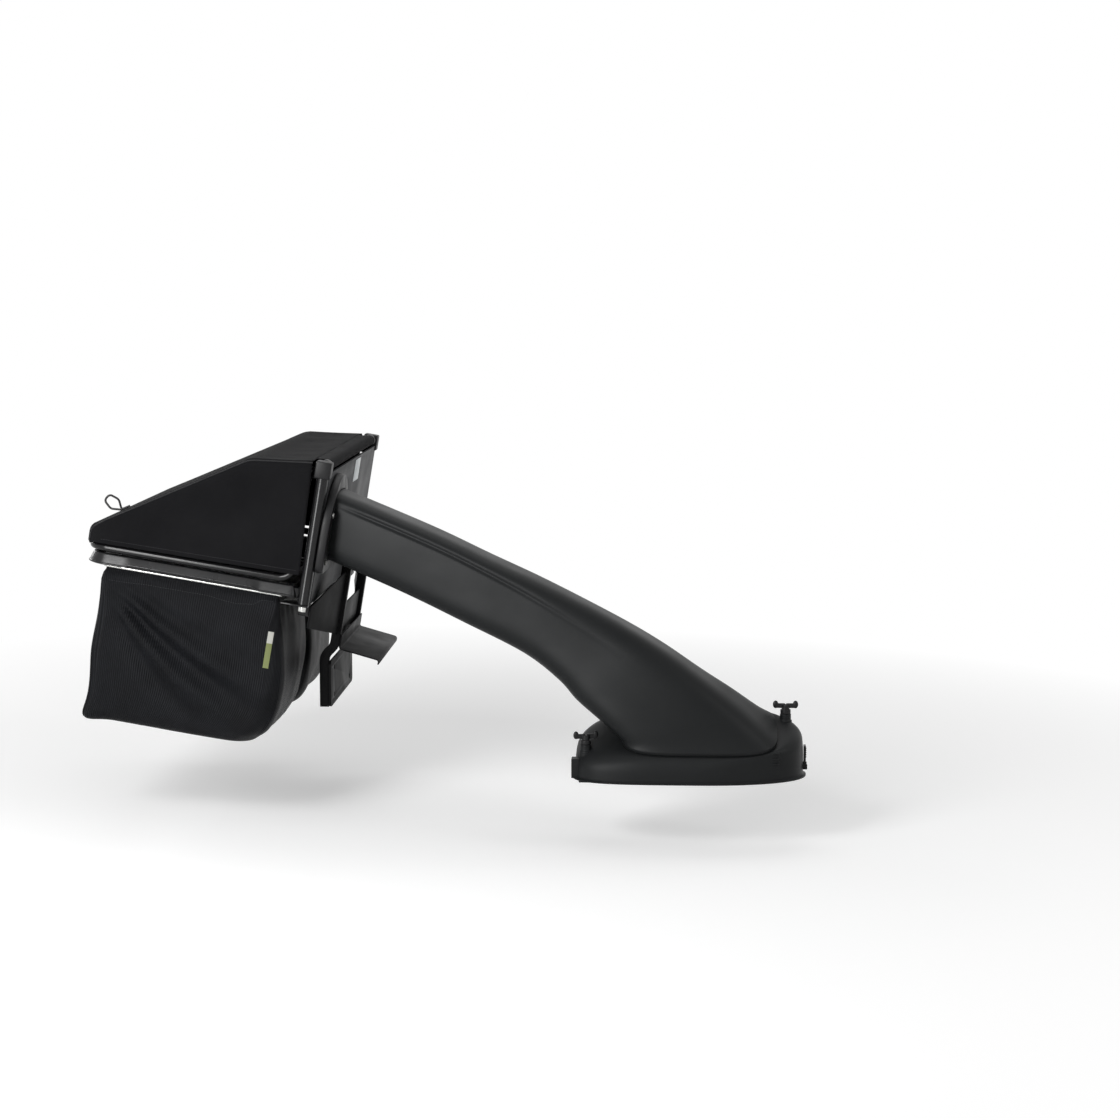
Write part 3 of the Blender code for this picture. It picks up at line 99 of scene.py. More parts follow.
def vary(finish, channel, pattern, low, high):
    """Let a pattern drive one of the shader's numbers between two values."""
    tree = finish.node_tree
    spread = tree.nodes.new("ShaderNodeMapRange")
    spread.inputs["From Min"].default_value = 0.3
    spread.inputs["From Max"].default_value = 0.7
    spread.inputs["To Min"].default_value = low
    spread.inputs["To Max"].default_value = high
    tree.links.new(pattern, spread.inputs["Value"])
    tree.links.new(spread.outputs["Result"], tree.nodes["Principled BSDF"].inputs[channel])


def tint(finish, pattern, dark, light):
    """Let a pattern drive the colour between two colours."""
    tree = finish.node_tree
    mix = tree.nodes.new("ShaderNodeMix")
    mix.data_type = "RGBA"
    mix.inputs["A"].default_value = (*dark, 1.0)
    mix.inputs["B"].default_value = (*light, 1.0)
    tree.links.new(pattern, mix.inputs["Factor"])
    tree.links.new(mix.outputs["Result"], tree.nodes["Principled BSDF"].inputs["Base Color"])


def emboss(finish, pattern, depth, strength=1.0):
    """Raise the surface by a pattern, so many metres from its low to its high places."""
    tree = finish.node_tree
    shader = tree.nodes["Principled BSDF"]
    bump = tree.nodes.new("ShaderNodeBump")
    bump.inputs["Strength"].default_value = strength
    bump.inputs["Distance"].default_value = depth
    tree.links.new(pattern, bump.inputs["Height"])
    if shader.inputs["Normal"].links:
        tree.links.new(shader.inputs["Normal"].links[0].from_socket, bump.inputs["Normal"])
    tree.links.new(bump.outputs["Normal"], shader.inputs["Normal"])


def filled(name, bm):
    """The mesh that a bmesh holds, which is then freed."""
    mesh = bpy.data.meshes.new(name)
    bm.to_mesh(mesh)
    bm.free()
    return mesh


def dressed(name, mesh, finish, body, stands_for=(), smooth=math.radians(35.0)):
    """A finished piece: its mesh, its finish, the body it rides on and its nodes."""
    piece = bpy.data.objects.new(name, mesh)
    bpy.context.scene.collection.objects.link(piece)
    if not mesh.materials:
        mesh.materials.append(finish)
    if smooth:
        mesh.shade_smooth()
        mesh.set_sharp_from_angle(angle=smooth)
    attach(piece, body)
    if stands_for:
        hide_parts(*stands_for)
    return piece


def eased_copy(node, edge, segments=2, limit=25.0):
    """A node's own shape with its triangles merged into faces and its sharp edges eased."""
    bm = bmesh.new()
    bm.from_mesh(nodes[node].data)
    bmesh.ops.remove_doubles(bm, verts=bm.verts, dist=0.00002)
    bmesh.ops.dissolve_limit(bm, angle_limit=math.radians(0.6), verts=bm.verts, edges=bm.edges)
    sharp = [e for e in bm.edges if len(e.link_faces) == 2 and e.calc_face_angle(0.0) > math.radians(limit)]
    bmesh.ops.bevel(bm, geom=sharp, offset=edge, segments=segments, affect="EDGES", profile=0.5,
                    clamp_overlap=True)
    return filled(node + "_eased", bm)


body_of_node = {node: body for body, members in frame["record"]["behaviour"]["bodies"].items()
                for node in members}


def ease_pieces(members, suffix, edge, finish, segments=2):
    """Pieces that keep their node's own shape, with its edges eased."""
    for node in members:
        mesh = eased_copy(node, edge, segments)
        dressed(node + suffix, mesh, finish, body_of_node[node], [node])


black_paint = new_finish("gloss_black_paint", PAINT_BLACK, 0.14, 0.28, gloss=(14.0, 4.0, 0.10, 0.22),
                         grain=[ORANGE_PEEL])
satin_paint = new_finish("satin_black_paint", PAINT_BLACK, 0.48, 0.05, gloss=(14.0, 4.0, 0.42, 0.56),
                         grain=[ORANGE_PEEL])
for node in STEEL_PIECES:
    coat = satin_paint if node in SATIN_PIECES else black_paint
    ease_pieces([node], "_coated", STEEL_EDGE, coat)

# The round tubes: the two posts, the header tube that the hood hinges on, the hood's bent frame and
# its ridge bow. Drawn steel tube in the same gloss coat.
TILT = math.radians(9.5)
FRAME_X = -0.026
FRAME_Z = 0.206
POST_DIAMETER = 0.025
POST_HEIGHT = 0.272
POST_Y = 0.3875
HEADER_DIAMETER = 0.018
HEADER_W = 0.290
HOOD_TUBE = 0.016
HOOD_RAIL_W = 0.047
RISER_U = 0.030
BOW_TUBE = 0.014
BOW_Y = 0.356
BOW_W = 0.272
RIDGE_U = 0.155


def tilted(u, y, w):
    """A point of the tilted frame: forward, left and up along the posts."""
    return Vector((FRAME_X + u * math.cos(TILT) + w * math.sin(TILT), y,
                   FRAME_Z - u * math.sin(TILT) + w * math.cos(TILT)))


def rounded_path(points, radii, steps=10):
    """A polyline with each corner rounded by its radius."""
    corners = [Vector(p) for p in points]
    count = len(corners)
    path = []
    for i, corner in enumerate(corners):
        if radii[i] == 0.0:
            path.append(corner)
            continue
        before = (corners[i - 1] - corner).normalized()
        after = (corners[(i + 1) % count] - corner).normalized()
        angle = before.angle(after)
        centre = corner + (before + after).normalized() * (radii[i] / math.sin(angle / 2))
        reach = radii[i] / math.tan(angle / 2)
        first = corner + before * reach - centre
        last = corner + after * reach - centre
        sweep = first.angle(last)
        for step in range(steps + 1):
            part = step / steps
            path.append(centre + (first * math.sin((1 - part) * sweep) + last * math.sin(part * sweep))
                        / math.sin(sweep))
    return path


def new_tree(name, sizes):
    """An empty Geometry Nodes tree with a geometry input and named inputs for its sizes."""
    tree = bpy.data.node_groups.new(name, "GeometryNodeTree")
    tree.interface.new_socket("Geometry", in_out="INPUT", socket_type="NodeSocketGeometry")
    for label, kind in sizes:
        tree.interface.new_socket(label, in_out="INPUT", socket_type="NodeSocket" + kind)
    tree.interface.new_socket("Geometry", in_out="OUTPUT", socket_type="NodeSocketGeometry")
    return tree, tree.nodes.new("NodeGroupInput"), tree.nodes.new("NodeGroupOutput")


def node_in(tree, kind, values=(), **settings):
    """A node with its settings and some of its inputs set or linked."""
    node = tree.nodes.new(kind)
    for setting, value in settings.items():
        setattr(node, setting, value)
    for socket, value in values:
        if isinstance(value, bpy.types.NodeSocket):
            tree.links.new(value, node.inputs[socket])
        else:
            node.inputs[socket].default_value = value
    return node


def maths(tree, operation, *values):
    """What an operation on values or sockets comes to."""
    return node_in(tree, "ShaderNodeMath", list(enumerate(values)), operation=operation).outputs[0]


def end_tree(tree, geometry, finish, out):
    """Every tree ends in real geometry with its finish."""
    real = node_in(tree, "GeometryNodeRealizeInstances", [("Geometry", geometry)])
    coat = node_in(tree, "GeometryNodeSetMaterial", [("Geometry", real.outputs[0]), ("Material", finish)])
    tree.links.new(coat.outputs[0], out.inputs[0])


def tube_tree():
    tree, given, out = new_tree("round_tube", [("Radius", "Float"), ("Sides", "Int"), ("Finish", "Material")])
    ring = node_in(tree, "GeometryNodeCurvePrimitiveCircle",
                   [("Resolution", given.outputs["Sides"]), ("Radius", given.outputs["Radius"])])
    tube = node_in(tree, "GeometryNodeCurveToMesh", [("Curve", given.outputs["Geometry"]),
                                                     ("Profile Curve", ring.outputs[0]), ("Fill Caps", True)])
    end_tree(tree, tube.outputs[0], given.outputs["Finish"], out)
    return tree


def run_tree(name, source, tree, sizes):
    """Run a tree on an object and keep what it makes as a plain mesh."""
    bpy.context.scene.collection.objects.link(source)
    modifier = source.modifiers.new(tree.name, "NODES")
    modifier.node_group = tree
    for item in tree.interface.items_tree:
        if item.in_out == "INPUT" and item.name in sizes:
            modifier[item.identifier] = sizes[item.name]
    evaluated = source.evaluated_get(bpy.context.evaluated_depsgraph_get())
    mesh = bpy.data.meshes.new_from_object(evaluated)
    mesh.name = name
    bpy.data.objects.remove(source)
    return mesh


def path_object(path, closed=False):
    curve = bpy.data.curves.new("path", "CURVE")
    curve.dimensions = "3D"
    spline = curve.splines.new("POLY")
    spline.points.add(len(path) - 1)
    for point, at in zip(spline.points, path):
        point.co = (*at, 1.0)
    spline.use_cyclic_u = closed
    return bpy.data.objects.new("path", curve)


round_tube = tube_tree()


def tube_mesh(name, path, diameter, finish, closed=False, sides=40):
    mesh = run_tree(name, path_object(path, closed), round_tube,
                    {"Radius": diameter / 2, "Sides": sides, "Finish": finish})
    bm = bmesh.new()
    bm.from_mesh(mesh)
    bmesh.ops.remove_doubles(bm, verts=bm.verts, dist=0.00001)
    bmesh.ops.recalc_face_normals(bm, faces=bm.faces)
    bm.to_mesh(mesh)
    bm.free()
    return mesh


for word, side in (("right", -1.0), ("left", 1.0)):
    post = [tilted(0.0, side * POST_Y, 0.0), tilted(0.0, side * POST_Y, POST_HEIGHT)]
    dressed("post_tube_" + word, tube_mesh("post_tube", post, POST_DIAMETER, black_paint, sides=64),
            black_paint, "frame", ["post_" + word])
header_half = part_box("header_tube")[1].y
header = [tilted(0.0, -header_half, HEADER_W), tilted(0.0, header_half, HEADER_W)]
dressed("header_tube_round", tube_mesh("header_tube_round", header, HEADER_DIAMETER, black_paint),
        black_paint, "frame", ["header_tube"])
rail_y = (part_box("hood_frame")[1].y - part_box("hood_frame")[0].y) / 2 - HOOD_TUBE / 2
rail_rear = 0.4577
riser_end = 0.3555
frame_corners = [(-RISER_U, -riser_end, BOW_W), (-RISER_U, -rail_y, BOW_W), (-RISER_U, -rail_y, HOOD_RAIL_W),
                 (-rail_rear, -rail_y, HOOD_RAIL_W), (-rail_rear, rail_y, HOOD_RAIL_W),
                 (-RISER_U, rail_y, HOOD_RAIL_W), (-RISER_U, rail_y, BOW_W), (-RISER_U, riser_end, BOW_W)]
frame_path = rounded_path(frame_corners, [0.0, 0.014, 0.030, 0.040, 0.040, 0.030, 0.014, 0.0])
dressed("hood_frame_bent", tube_mesh("hood_frame_bent", [tilted(*p) for p in frame_path], HOOD_TUBE,
                                     black_paint), black_paint, "hood", ["hood_frame"])
bow_front = 0.044
bow_corners = [(-bow_front, -BOW_Y, BOW_W), (-RIDGE_U, -BOW_Y, BOW_W), (-RIDGE_U, BOW_Y, BOW_W),
               (-bow_front, BOW_Y, BOW_W)]
bow_path = rounded_path(bow_corners, [0.0, 0.03, 0.03, 0.0])
dressed("hood_bow_bent", tube_mesh("hood_bow_bent", [tilted(*p) for p in bow_path], BOW_TUBE, black_paint),
        black_paint, "hood", ["hood_bow"])

# The bag rims: one glossy black moulded ring on each support ring, with a skirt that flares out over
# it, a rolled lower lip that is cut back along the outer side, and a short wall on the inside that
# the bag's mouth sits in. The hoop under it is bare zinc plated rod in the bag's sewn mouth.
RIM_HALF_WIDTH = 0.400
RIM_REAR = 0.463
RIM_FRONT = 0.016
RIM_MIDDLE = 0.0015
RIM_REAR_CORNER = 0.045
RIM_FRONT_CORNER = 0.012
RIM_TOP = 0.0355
RIM_LOW = 0.012
RIM_INNER = 0.0366
RECESS_DEPTH = 0.006
RECESS_REAR = 0.385
RECESS_FRONT = 0.095
RECESS_SLOPE = 0.014
HOOP_DIAMETER = 0.007
HOOP_W = 0.0071
HOOP_INSET = 0.0353


def ramp(value, start, end):
    """0 up to the start, 1 from the end, and smooth between them."""
    part = min(max((value - start) / (end - start), 0.0), 1.0)
    return part * part * (3 - 2 * part)


def rounded_rectangle(low_u, low_y, high_u, high_y, radii, straight=24, arc=10):
    """As many points on every such outline, spaced evenly on each side and each corner."""
    corners = [(low_u, low_y), (high_u, low_y), (high_u, high_y), (low_u, high_y)]
    centres = [(low_u + radii[0], low_y + radii[0]), (high_u - radii[1], low_y + radii[1]),
               (high_u - radii[2], high_y - radii[2]), (low_u + radii[3], high_y - radii[3])]
    outline = []
    for i in range(4):
        start = math.radians(180.0 + 90.0 * i)
        for step in range(arc):
            angle = start + math.radians(90.0) * step / (arc - 1)
            outline.append(Vector((centres[i][0] + radii[i] * math.cos(angle),
                                   centres[i][1] + radii[i] * math.sin(angle))))
        k = (i + 1) % 4
        angle = start + math.radians(90.0)
        first = outline[-1]
        last = Vector((centres[k][0] + radii[k] * math.cos(angle),
                       centres[k][1] + radii[k] * math.sin(angle)))
        outline += [first.lerp(last, step / straight) for step in range(1, straight)]
    return outline


def rim_outline(side, inset, straight=60):
    low, high = sorted((side * (RIM_MIDDLE + inset), side * (RIM_HALF_WIDTH - inset)))
    rear = max(RIM_REAR_CORNER - inset, 0.002)
    front = max(RIM_FRONT_CORNER - inset, 0.002)
    return rounded_rectangle(-RIM_REAR + inset, low, -RIM_FRONT - inset, high, [rear, front, front, rear],
                             straight)


def skin(name, rows, closed=True, wrap=False, even=None):
    """A skin over rows of as many points, with a UV map in metres along and across the rows."""
    count = len(rows[0])
    guide = rows[even if even is not None else len(rows) // 2]
    along = [0.0]
    for j in range(count):
        along.append(along[-1] + (guide[(j + 1) % count] - guide[j]).length)
    across = [0.0]
    for lower, upper in zip(rows, rows[1:] + rows[:1]):
        across.append(across[-1] + sum((upper[j] - lower[j]).length for j in range(0, count, 4)) * 4 / count)
    bm = bmesh.new()
    marks = bm.loops.layers.uv.new("cloth")
    grid = [[bm.verts.new(p) for p in row] for row in rows]
    for i in range(len(rows) if wrap else len(rows) - 1):
        lower, upper = grid[i], grid[(i + 1) % len(rows)]
        for j in range(count if closed else count - 1):
            k = (j + 1) % count
            face = bm.faces.new((lower[j], lower[k], upper[k], upper[j]))
            for loop, (a, c) in zip(face.loops, ((j, i), (j + 1, i), (j + 1, i + 1), (j, i + 1))):
                loop[marks].uv = (along[a], across[c])
    return filled(name, bm)


rim_section = [(0.0016, 0.0), (0.0004, 0.0006), (0.0, 0.0018), (0.0004, 0.0032), (0.0016, 0.0040),
               (0.0020, 0.0050), (0.0077, 0.0205), (0.0086, 0.0224), (0.0102, 0.0234), (0.0130, 0.0235),
               (0.0352, 0.0235), (0.0363, 0.0231), (RIM_INNER, 0.0220), (RIM_INNER, 0.0006),
               (0.0352, 0.0), (0.0346, 0.0006), (0.0343, 0.0180), (0.0333, 0.0190), (0.0120, 0.0190),
               (0.0108, 0.0180), (0.0042, 0.0030), (0.0034, 0.0006)]
moulding = new_finish("gloss_black_moulding", (0.008, 0.008, 0.0085), 0.26, 0.28,
                      gloss=(9.0, 3.0, 0.22, 0.34), grain=[(60.0, 2.0, 0.00025, 0.6)])
bright_zinc = new_finish("bright_zinc", (0.62, 0.62, 0.60), 0.25, metallic=1.0,
                         gloss=(160.0, 3.0, 0.18, 0.36), grain=[(900.0, 2.0, 0.00003, 0.4)])
for word, side in (("right", -1.0), ("left", 1.0)):
    rows = []
    for inset, rise in rim_section:
        row = []
        for p in rim_outline(side, inset):
            outer = ramp(side * p.y, RIM_HALF_WIDTH - 0.030, RIM_HALF_WIDTH - 0.016)
            cut = outer * ramp(p.x, -RECESS_REAR, -RECESS_REAR + RECESS_SLOPE)
            cut *= 1.0 - ramp(p.x, -RECESS_FRONT - RECESS_SLOPE, -RECESS_FRONT)
            lift = RECESS_DEPTH * cut * (1.0 - rise / (RIM_TOP - RIM_LOW))
            row.append(tilted(p.x, p.y, RIM_LOW + rise + (lift if inset < 0.0110 else 0.0)))
        rows.append(row)
    rows.reverse()
    mesh = skin("bag_rim", rows, wrap=True)
    dressed("bag_rim_moulded_" + word, mesh, moulding, "frame", ["bag_rim_" + word])
    hoop = [tilted(p.x, p.y, HOOP_W) for p in rim_outline(side, HOOP_INSET)]
    dressed("bag_hoop_rod_" + word, tube_mesh("bag_hoop_rod", hoop, HOOP_DIAMETER, bright_zinc, True, 20),
            bright_zinc, "frame", ["bag_hoop_" + word])

# The bags: each a sack of fine ribbed black mesh cloth, sewn round its hoop, with its rear corners
# pinched at the foot. Empty, the side hangs in two broad folds that fan out from the upper rear
# corner, and the mouth's stitched hem sags between its ends. The right bag has a small plain tab.
BAG_INSET = 0.0391
BAG_FOOT = -0.322
RIB_PITCH = 0.0042
RUNG_PITCH = 0.0012
BAG_CLOTH = 0.0014
BAG_LEVELS = [
    (0.0300, 0.000, 0.000, 0.000, 0.000, 0.006, 0.003), (0.0030, 0.000, 0.000, 0.000, 0.000, 0.006, 0.003),
    (-0.012, 0.006, 0.006, 0.005, 0.004, 0.012, 0.008), (-0.035, 0.010, 0.010, 0.007, 0.006, 0.018, 0.014),
    (-0.090, 0.007, 0.021, 0.012, 0.014, 0.022, 0.030), (-0.170, 0.004, 0.034, 0.018, 0.020, 0.020, 0.036),
    (-0.240, -0.003, 0.034, 0.018, 0.020, 0.016, 0.040), (-0.285, -0.003, 0.020, 0.013, 0.012, 0.014, 0.046),
    (-0.306, -0.004, 0.000, 0.006, 0.002, 0.014, 0.050),
    (-0.318, -0.010, -0.018, -0.006, -0.010, 0.018, 0.048),
    (BAG_FOOT, -0.030, -0.044, -0.030, -0.032, 0.022, 0.044)]
HEM_LINE = [(-0.430, -0.026), (-0.401, -0.026), (-0.323, -0.023), (-0.216, -0.023), (-0.141, -0.029),
            (-0.110, -0.026), (-0.086, -0.013), (-0.060, -0.012)]
HEM_PROUD = 0.0010
THREAD = 0.0011
STITCH = 0.0034
STITCH_PITCH = 0.0052
HEM_STITCH_START = -0.412
HEM_STITCH_RUN = 0.345
HEM_STITCH_RISE = 0.0035
HEM_STITCH_POINTS = 80
TAB_REAR, TAB_FRONT, TAB_LOW, TAB_HIGH = -0.065, -0.053, -0.149, -0.072
TAB_ROWS = 22
TAB_COLUMNS = 6
TAB_PALE_FROM = 15
TAB_THICK = 0.0011
PINCHED_CORNERS = ((-0.418, 0.372, -0.318), (-0.418, 0.030, -0.318))
PINCH_REACH = 0.030
PINCH_OUT = 0.017
FOLDS = [((-0.405, -0.030), (-0.295, -0.096), (-0.193, -0.149), (-0.067, -0.207), 0.0110, 0.016),
         ((-0.405, -0.050), (-0.322, -0.134), (-0.247, -0.196), (-0.089, -0.283), 0.0125, 0.017)]


def smooth_levels(levels, steps):
    """A smooth run of levels through the given ones."""
    run = []
    last = len(levels) - 1
    for i in range(last):
        a, b, c, d = levels[max(i - 1, 0)], levels[i], levels[i + 1], levels[min(i + 2, last)]
        for step in range(steps):
            t = step / steps
            run.append([0.5 * (2 * q + (r - p) * t + (2 * p - 5 * q + 4 * r - s) * t * t
                               + (3 * q - p - 3 * r + s) * t ** 3) for p, q, r, s in zip(a, b, c, d)])
    run.append(list(levels[-1]))
    return run


def distance_to_path(u, w, path):
    """How far a point of the side lies from a path, which side it is on, and how far along."""
    best = (1e9, 0.0, 0.0)
    for i, (a, b) in enumerate(zip(path, path[1:])):
        run = (b[0] - a[0], b[1] - a[1])
        length = math.hypot(*run)
        part = min(max(((u - a[0]) * run[0] + (w - a[1]) * run[1]) / length ** 2, 0.0), 1.0)
        gap = (u - a[0] - part * run[0], w - a[1] - part * run[1])
        far = math.hypot(*gap)
        if far < best[0]:
            best = (far, math.copysign(1.0, run[0] * gap[1] - run[1] * gap[0]), (i + part) / (len(path) - 1))
    return best


def fold_height(u, w):
    """How far the folds stand out on the bag's outer side."""
    height = 0.0
    for *path, peak, width in FOLDS:
        far, above, part = distance_to_path(u, w, path)
        spread = width * (0.45 + 1.1 * part)
        crest = math.exp(-(far / spread) ** 2) - 0.55 * math.exp(-((far - 1.9 * spread) / spread) ** 2)
        height += peak * crest * ramp(part, 0.0, 0.18) * (1.0 - 0.6 * ramp(part, 0.75, 1.0))
    return height


def hem_line(u):
    """The height of the hem's lower edge, which sags between its ends."""
    for (u0, w0), (u1, w1) in zip(HEM_LINE, HEM_LINE[1:]):
        if u <= u1:
            return w0 + (w1 - w0) * ramp(u, u0, u1)
    return HEM_LINE[-1][1]


def bag_rows(side, seed):
    """The sack's skin from its foot to its mouth, with folds, slack and puckers."""
    rows = []
    for w, rear, front, outer, inner, rear_corner, front_corner in reversed(smooth_levels(BAG_LEVELS, 9)):
        low, high = sorted((side * (RIM_MIDDLE + BAG_INSET - inner),
                            side * (RIM_HALF_WIDTH - BAG_INSET + outer)))
        outline = rounded_rectangle(-RIM_REAR + BAG_INSET - rear, low, -RIM_FRONT - BAG_INSET + front, high,
                                    [rear_corner, front_corner, front_corner, rear_corner], 48, 12)
        middle = Vector((sum(p.x for p in outline), sum(p.y for p in outline))) / len(outline)
        row = []
        for j, p in enumerate(outline):
            before, after = outline[j - 1], outline[(j + 1) % len(outline)]
            normal = Vector((after.y - before.y, before.x - after.x)).normalized()
            hang = ramp(-w, -0.002, 0.06) * (1.0 - 0.7 * ramp(-w, 0.29, 0.32))
            slack = noise.noise(Vector((p.x * 7.0, p.y * 7.0 + seed, w * 5.0))) * 0.0065
            slack += noise.noise(Vector((p.x * 19.0 + w * 9.0, p.y * 19.0 + seed, w * 11.0))) * 0.0022
            push = slack * hang
            pucker = ramp(-w, -0.004, 0.010) * (1.0 - ramp(-w, 0.02, 0.07))
            push += math.sin(j * 0.55 + 2.5 * math.sin(j * 0.11 + seed)) * 0.0011 * pucker
            if side * normal.y > 0.6:
                push += fold_height(p.x, w) * hang
                push += HEM_PROUD * ramp(w, hem_line(p.x) - 0.001, hem_line(p.x) + 0.001)
            elif side * normal.y < -0.6:
                push += 0.5 * fold_height(p.x, w) * hang
            elif normal.x < -0.6:
                push += math.sin((p.y * side - 0.05) * 17.0 - w * 9.0) * 0.004 * hang
            pinch = 0.0
            for u, y, corner_w in PINCHED_CORNERS:
                tip = Vector((u, side * y, corner_w))
                pinch += math.exp(-((Vector((p.x, p.y, w)) - tip).length / PINCH_REACH) ** 2)
            at = Vector((p.x, p.y)) + normal * push + (p - middle).normalized() * PINCH_OUT * pinch
            drop = 0.010 * pinch + 0.006 * math.sin((p.x + 0.44) * 7.0) * ramp(-w, 0.22, 0.32)
            row.append(tilted(at.x, at.y, w - 0.007 * pinch - 0.3 * drop))
        rows.append(row)
    return rows


def foot_rows(first, steps=7):
    """Rows that carry the foot's edge in to its middle, with a slight belly."""
    middle = sum(first, Vector()) / len(first)
    rows = []
    for step in range(steps, 0, -1):
        part = step / steps
        belly = 0.004 * math.sin(part * math.pi / 2)
        rows.append([p.lerp(middle, part * 0.985) - Vector((0.0, 0.0, belly)) for p in first])
    return rows


def ribbed_mesh():
    cloth = new_finish("ribbed_mesh_cloth", (0.008, 0.0085, 0.010), 0.42, 0.075)
    tree = cloth.node_tree
    place = node_in(tree, "ShaderNodeUVMap", uv_map="cloth")
    split = node_in(tree, "ShaderNodeSeparateXYZ", [("Vector", place.outputs["UV"])])
    rib = maths(tree, "SINE", maths(tree, "MULTIPLY", split.outputs["X"], 2 * math.pi / RIB_PITCH))
    rung = maths(tree, "SINE", maths(tree, "MULTIPLY", split.outputs["Y"], 2 * math.pi / RUNG_PITCH))
    level = maths(tree, "MULTIPLY_ADD", maths(tree, "MULTIPLY_ADD", rung, 0.25, rib), 0.4, 0.5)
    # The colour is near black in the grooves between the ribs and dark grey on their crests, which is painted
    # shade, and it also varies with a random cloudy tone.
    groove_shade_and_tone = maths(tree, "MULTIPLY", level, clouds(cloth, 16.0, 5.0))
    tint(cloth, groove_shade_and_tone, (0.0010, 0.0010, 0.0013), (0.015, 0.0165, 0.020))
    emboss(cloth, level, 0.0008, 0.9)
    emboss(cloth, clouds(cloth, 45.0, 4.0), 0.0012, 0.35)
    shader = tree.nodes["Principled BSDF"]
    shader.inputs["Sheen Weight"].default_value = 0.015
    shader.inputs["Sheen Roughness"].default_value = 0.45
    return cloth


def cloth_surface(piece):
    """A piece's surface to find points on."""
    mesh = piece.data
    return BVHTree.FromPolygons([v.co for v in mesh.vertices], [tuple(f.vertices) for f in mesh.polygons])


def on_side(surface, u, w, side, lift):
    """The point of a surface that is seen from the side at a place of the tilted frame."""
    hit = surface.ray_cast(tilted(u, side * 0.7, w), Vector((0.0, -side, 0.0)))[0]
    return hit + Vector((0.0, side * lift, 0.0))


def stitch_tree():
    tree, given, out = new_tree("stitches", [("Pitch", "Float"), ("Length", "Float"), ("Thread", "Float"),
                                             ("Finish", "Material")])
    places = node_in(tree, "GeometryNodeResampleCurve",
                     [("Curve", given.outputs["Geometry"]), ("Length", given.outputs["Pitch"])],
                     mode="LENGTH")
    along = node_in(tree, "GeometryNodeInputTangent")
    turn = node_in(tree, "FunctionNodeAlignRotationToVector", [("Vector", along.outputs[0])], axis="Z")
    bead = node_in(tree, "GeometryNodeMeshUVSphere", [("Segments", 6), ("Rings", 4), ("Radius", 0.5)])
    size = node_in(tree, "ShaderNodeCombineXYZ",
                   [("X", given.outputs["Thread"]), ("Y", given.outputs["Thread"]),
                    ("Z", given.outputs["Length"])])
    laid = node_in(tree, "GeometryNodeInstanceOnPoints",
                   [("Points", places.outputs[0]), ("Instance", bead.outputs[0]),
                    ("Rotation", turn.outputs[0]), ("Scale", size.outputs[0])])
    end_tree(tree, laid.outputs[0], given.outputs["Finish"], out)
    return tree


stitches = stitch_tree()
thread = new_finish("dark_thread", (0.030, 0.030, 0.032), 0.6, 0.2, grain=[(2400.0, 1.0, 0.0001, 0.6)])


def sewn_line(name, path, body):
    """A line of stitches along a path."""
    mesh = run_tree(name, path_object(path), stitches,
                    {"Pitch": STITCH_PITCH, "Length": STITCH, "Thread": THREAD, "Finish": thread})
    return dressed(name, mesh, thread, body, smooth=math.radians(80.0))


def tab_mesh(surface, side):
    """A woven tab that lies on the bag, olive with a pale end."""
    bm = bmesh.new()
    marks = bm.loops.layers.uv.new("cloth")
    grid = []
    for i in range(TAB_ROWS + 1):
        w = TAB_LOW + (TAB_HIGH - TAB_LOW) * i / TAB_ROWS
        across = [TAB_REAR + (TAB_FRONT - TAB_REAR) * j / TAB_COLUMNS for j in range(TAB_COLUMNS + 1)]
        grid.append([bm.verts.new(on_side(surface, u, w, side, TAB_THICK)) for u in across])
    for i in range(TAB_ROWS):
        for j in range(TAB_COLUMNS):
            face = bm.faces.new((grid[i][j], grid[i][j + 1], grid[i + 1][j + 1], grid[i + 1][j]))
            face.material_index = 0 if i < TAB_PALE_FROM else 1
            for loop, (a, c) in zip(face.loops, ((j, i), (j + 1, i), (j + 1, i + 1), (j, i + 1))):
                loop[marks].uv = (a * 0.003, c * 0.004)
    mesh = filled("bag_tab", bm)
    for name, colour in (("olive_tape", (0.150, 0.170, 0.070)), ("pale_tape", (0.36, 0.36, 0.33))):
        mesh.materials.append(new_finish(name, colour, 0.7, 0.15, grain=[(1300.0, 2.0, 0.0002, 0.7)]))
    return mesh


def add_wall(piece, kind, thickness):
    """The thickness of a cloth or a moulded wall, inwards from its skin."""
    wall = piece.modifiers.new(kind, "SOLIDIFY")
    wall.thickness = thickness
    wall.offset = -1.0


mesh_cloth = ribbed_mesh()
for word, side, seed in (("right", -1.0, 3.1), ("left", 1.0, 11.7)):
    rows = bag_rows(side, seed)
    rows = foot_rows(rows[0]) + rows
    bag = dressed("bag_sack_" + word, skin("bag_sack", rows, even=30), mesh_cloth, "frame",
                  ["bag_" + word], smooth=math.radians(80.0))
    add_wall(bag, "cloth", BAG_CLOTH)
    surface = cloth_surface(bag)
    along = [HEM_STITCH_START + HEM_STITCH_RUN * i / (HEM_STITCH_POINTS - 1)
             for i in range(HEM_STITCH_POINTS)]
    line = [on_side(surface, u, hem_line(u) + HEM_STITCH_RISE, side, 0.0002) for u in along]
    trim = [sewn_line("bag_hem_stitches_" + word, line, "frame")]
    if word == "right":
        trim.append(dressed("bag_tab", tab_mesh(surface, side), thread, "frame", smooth=0.0))

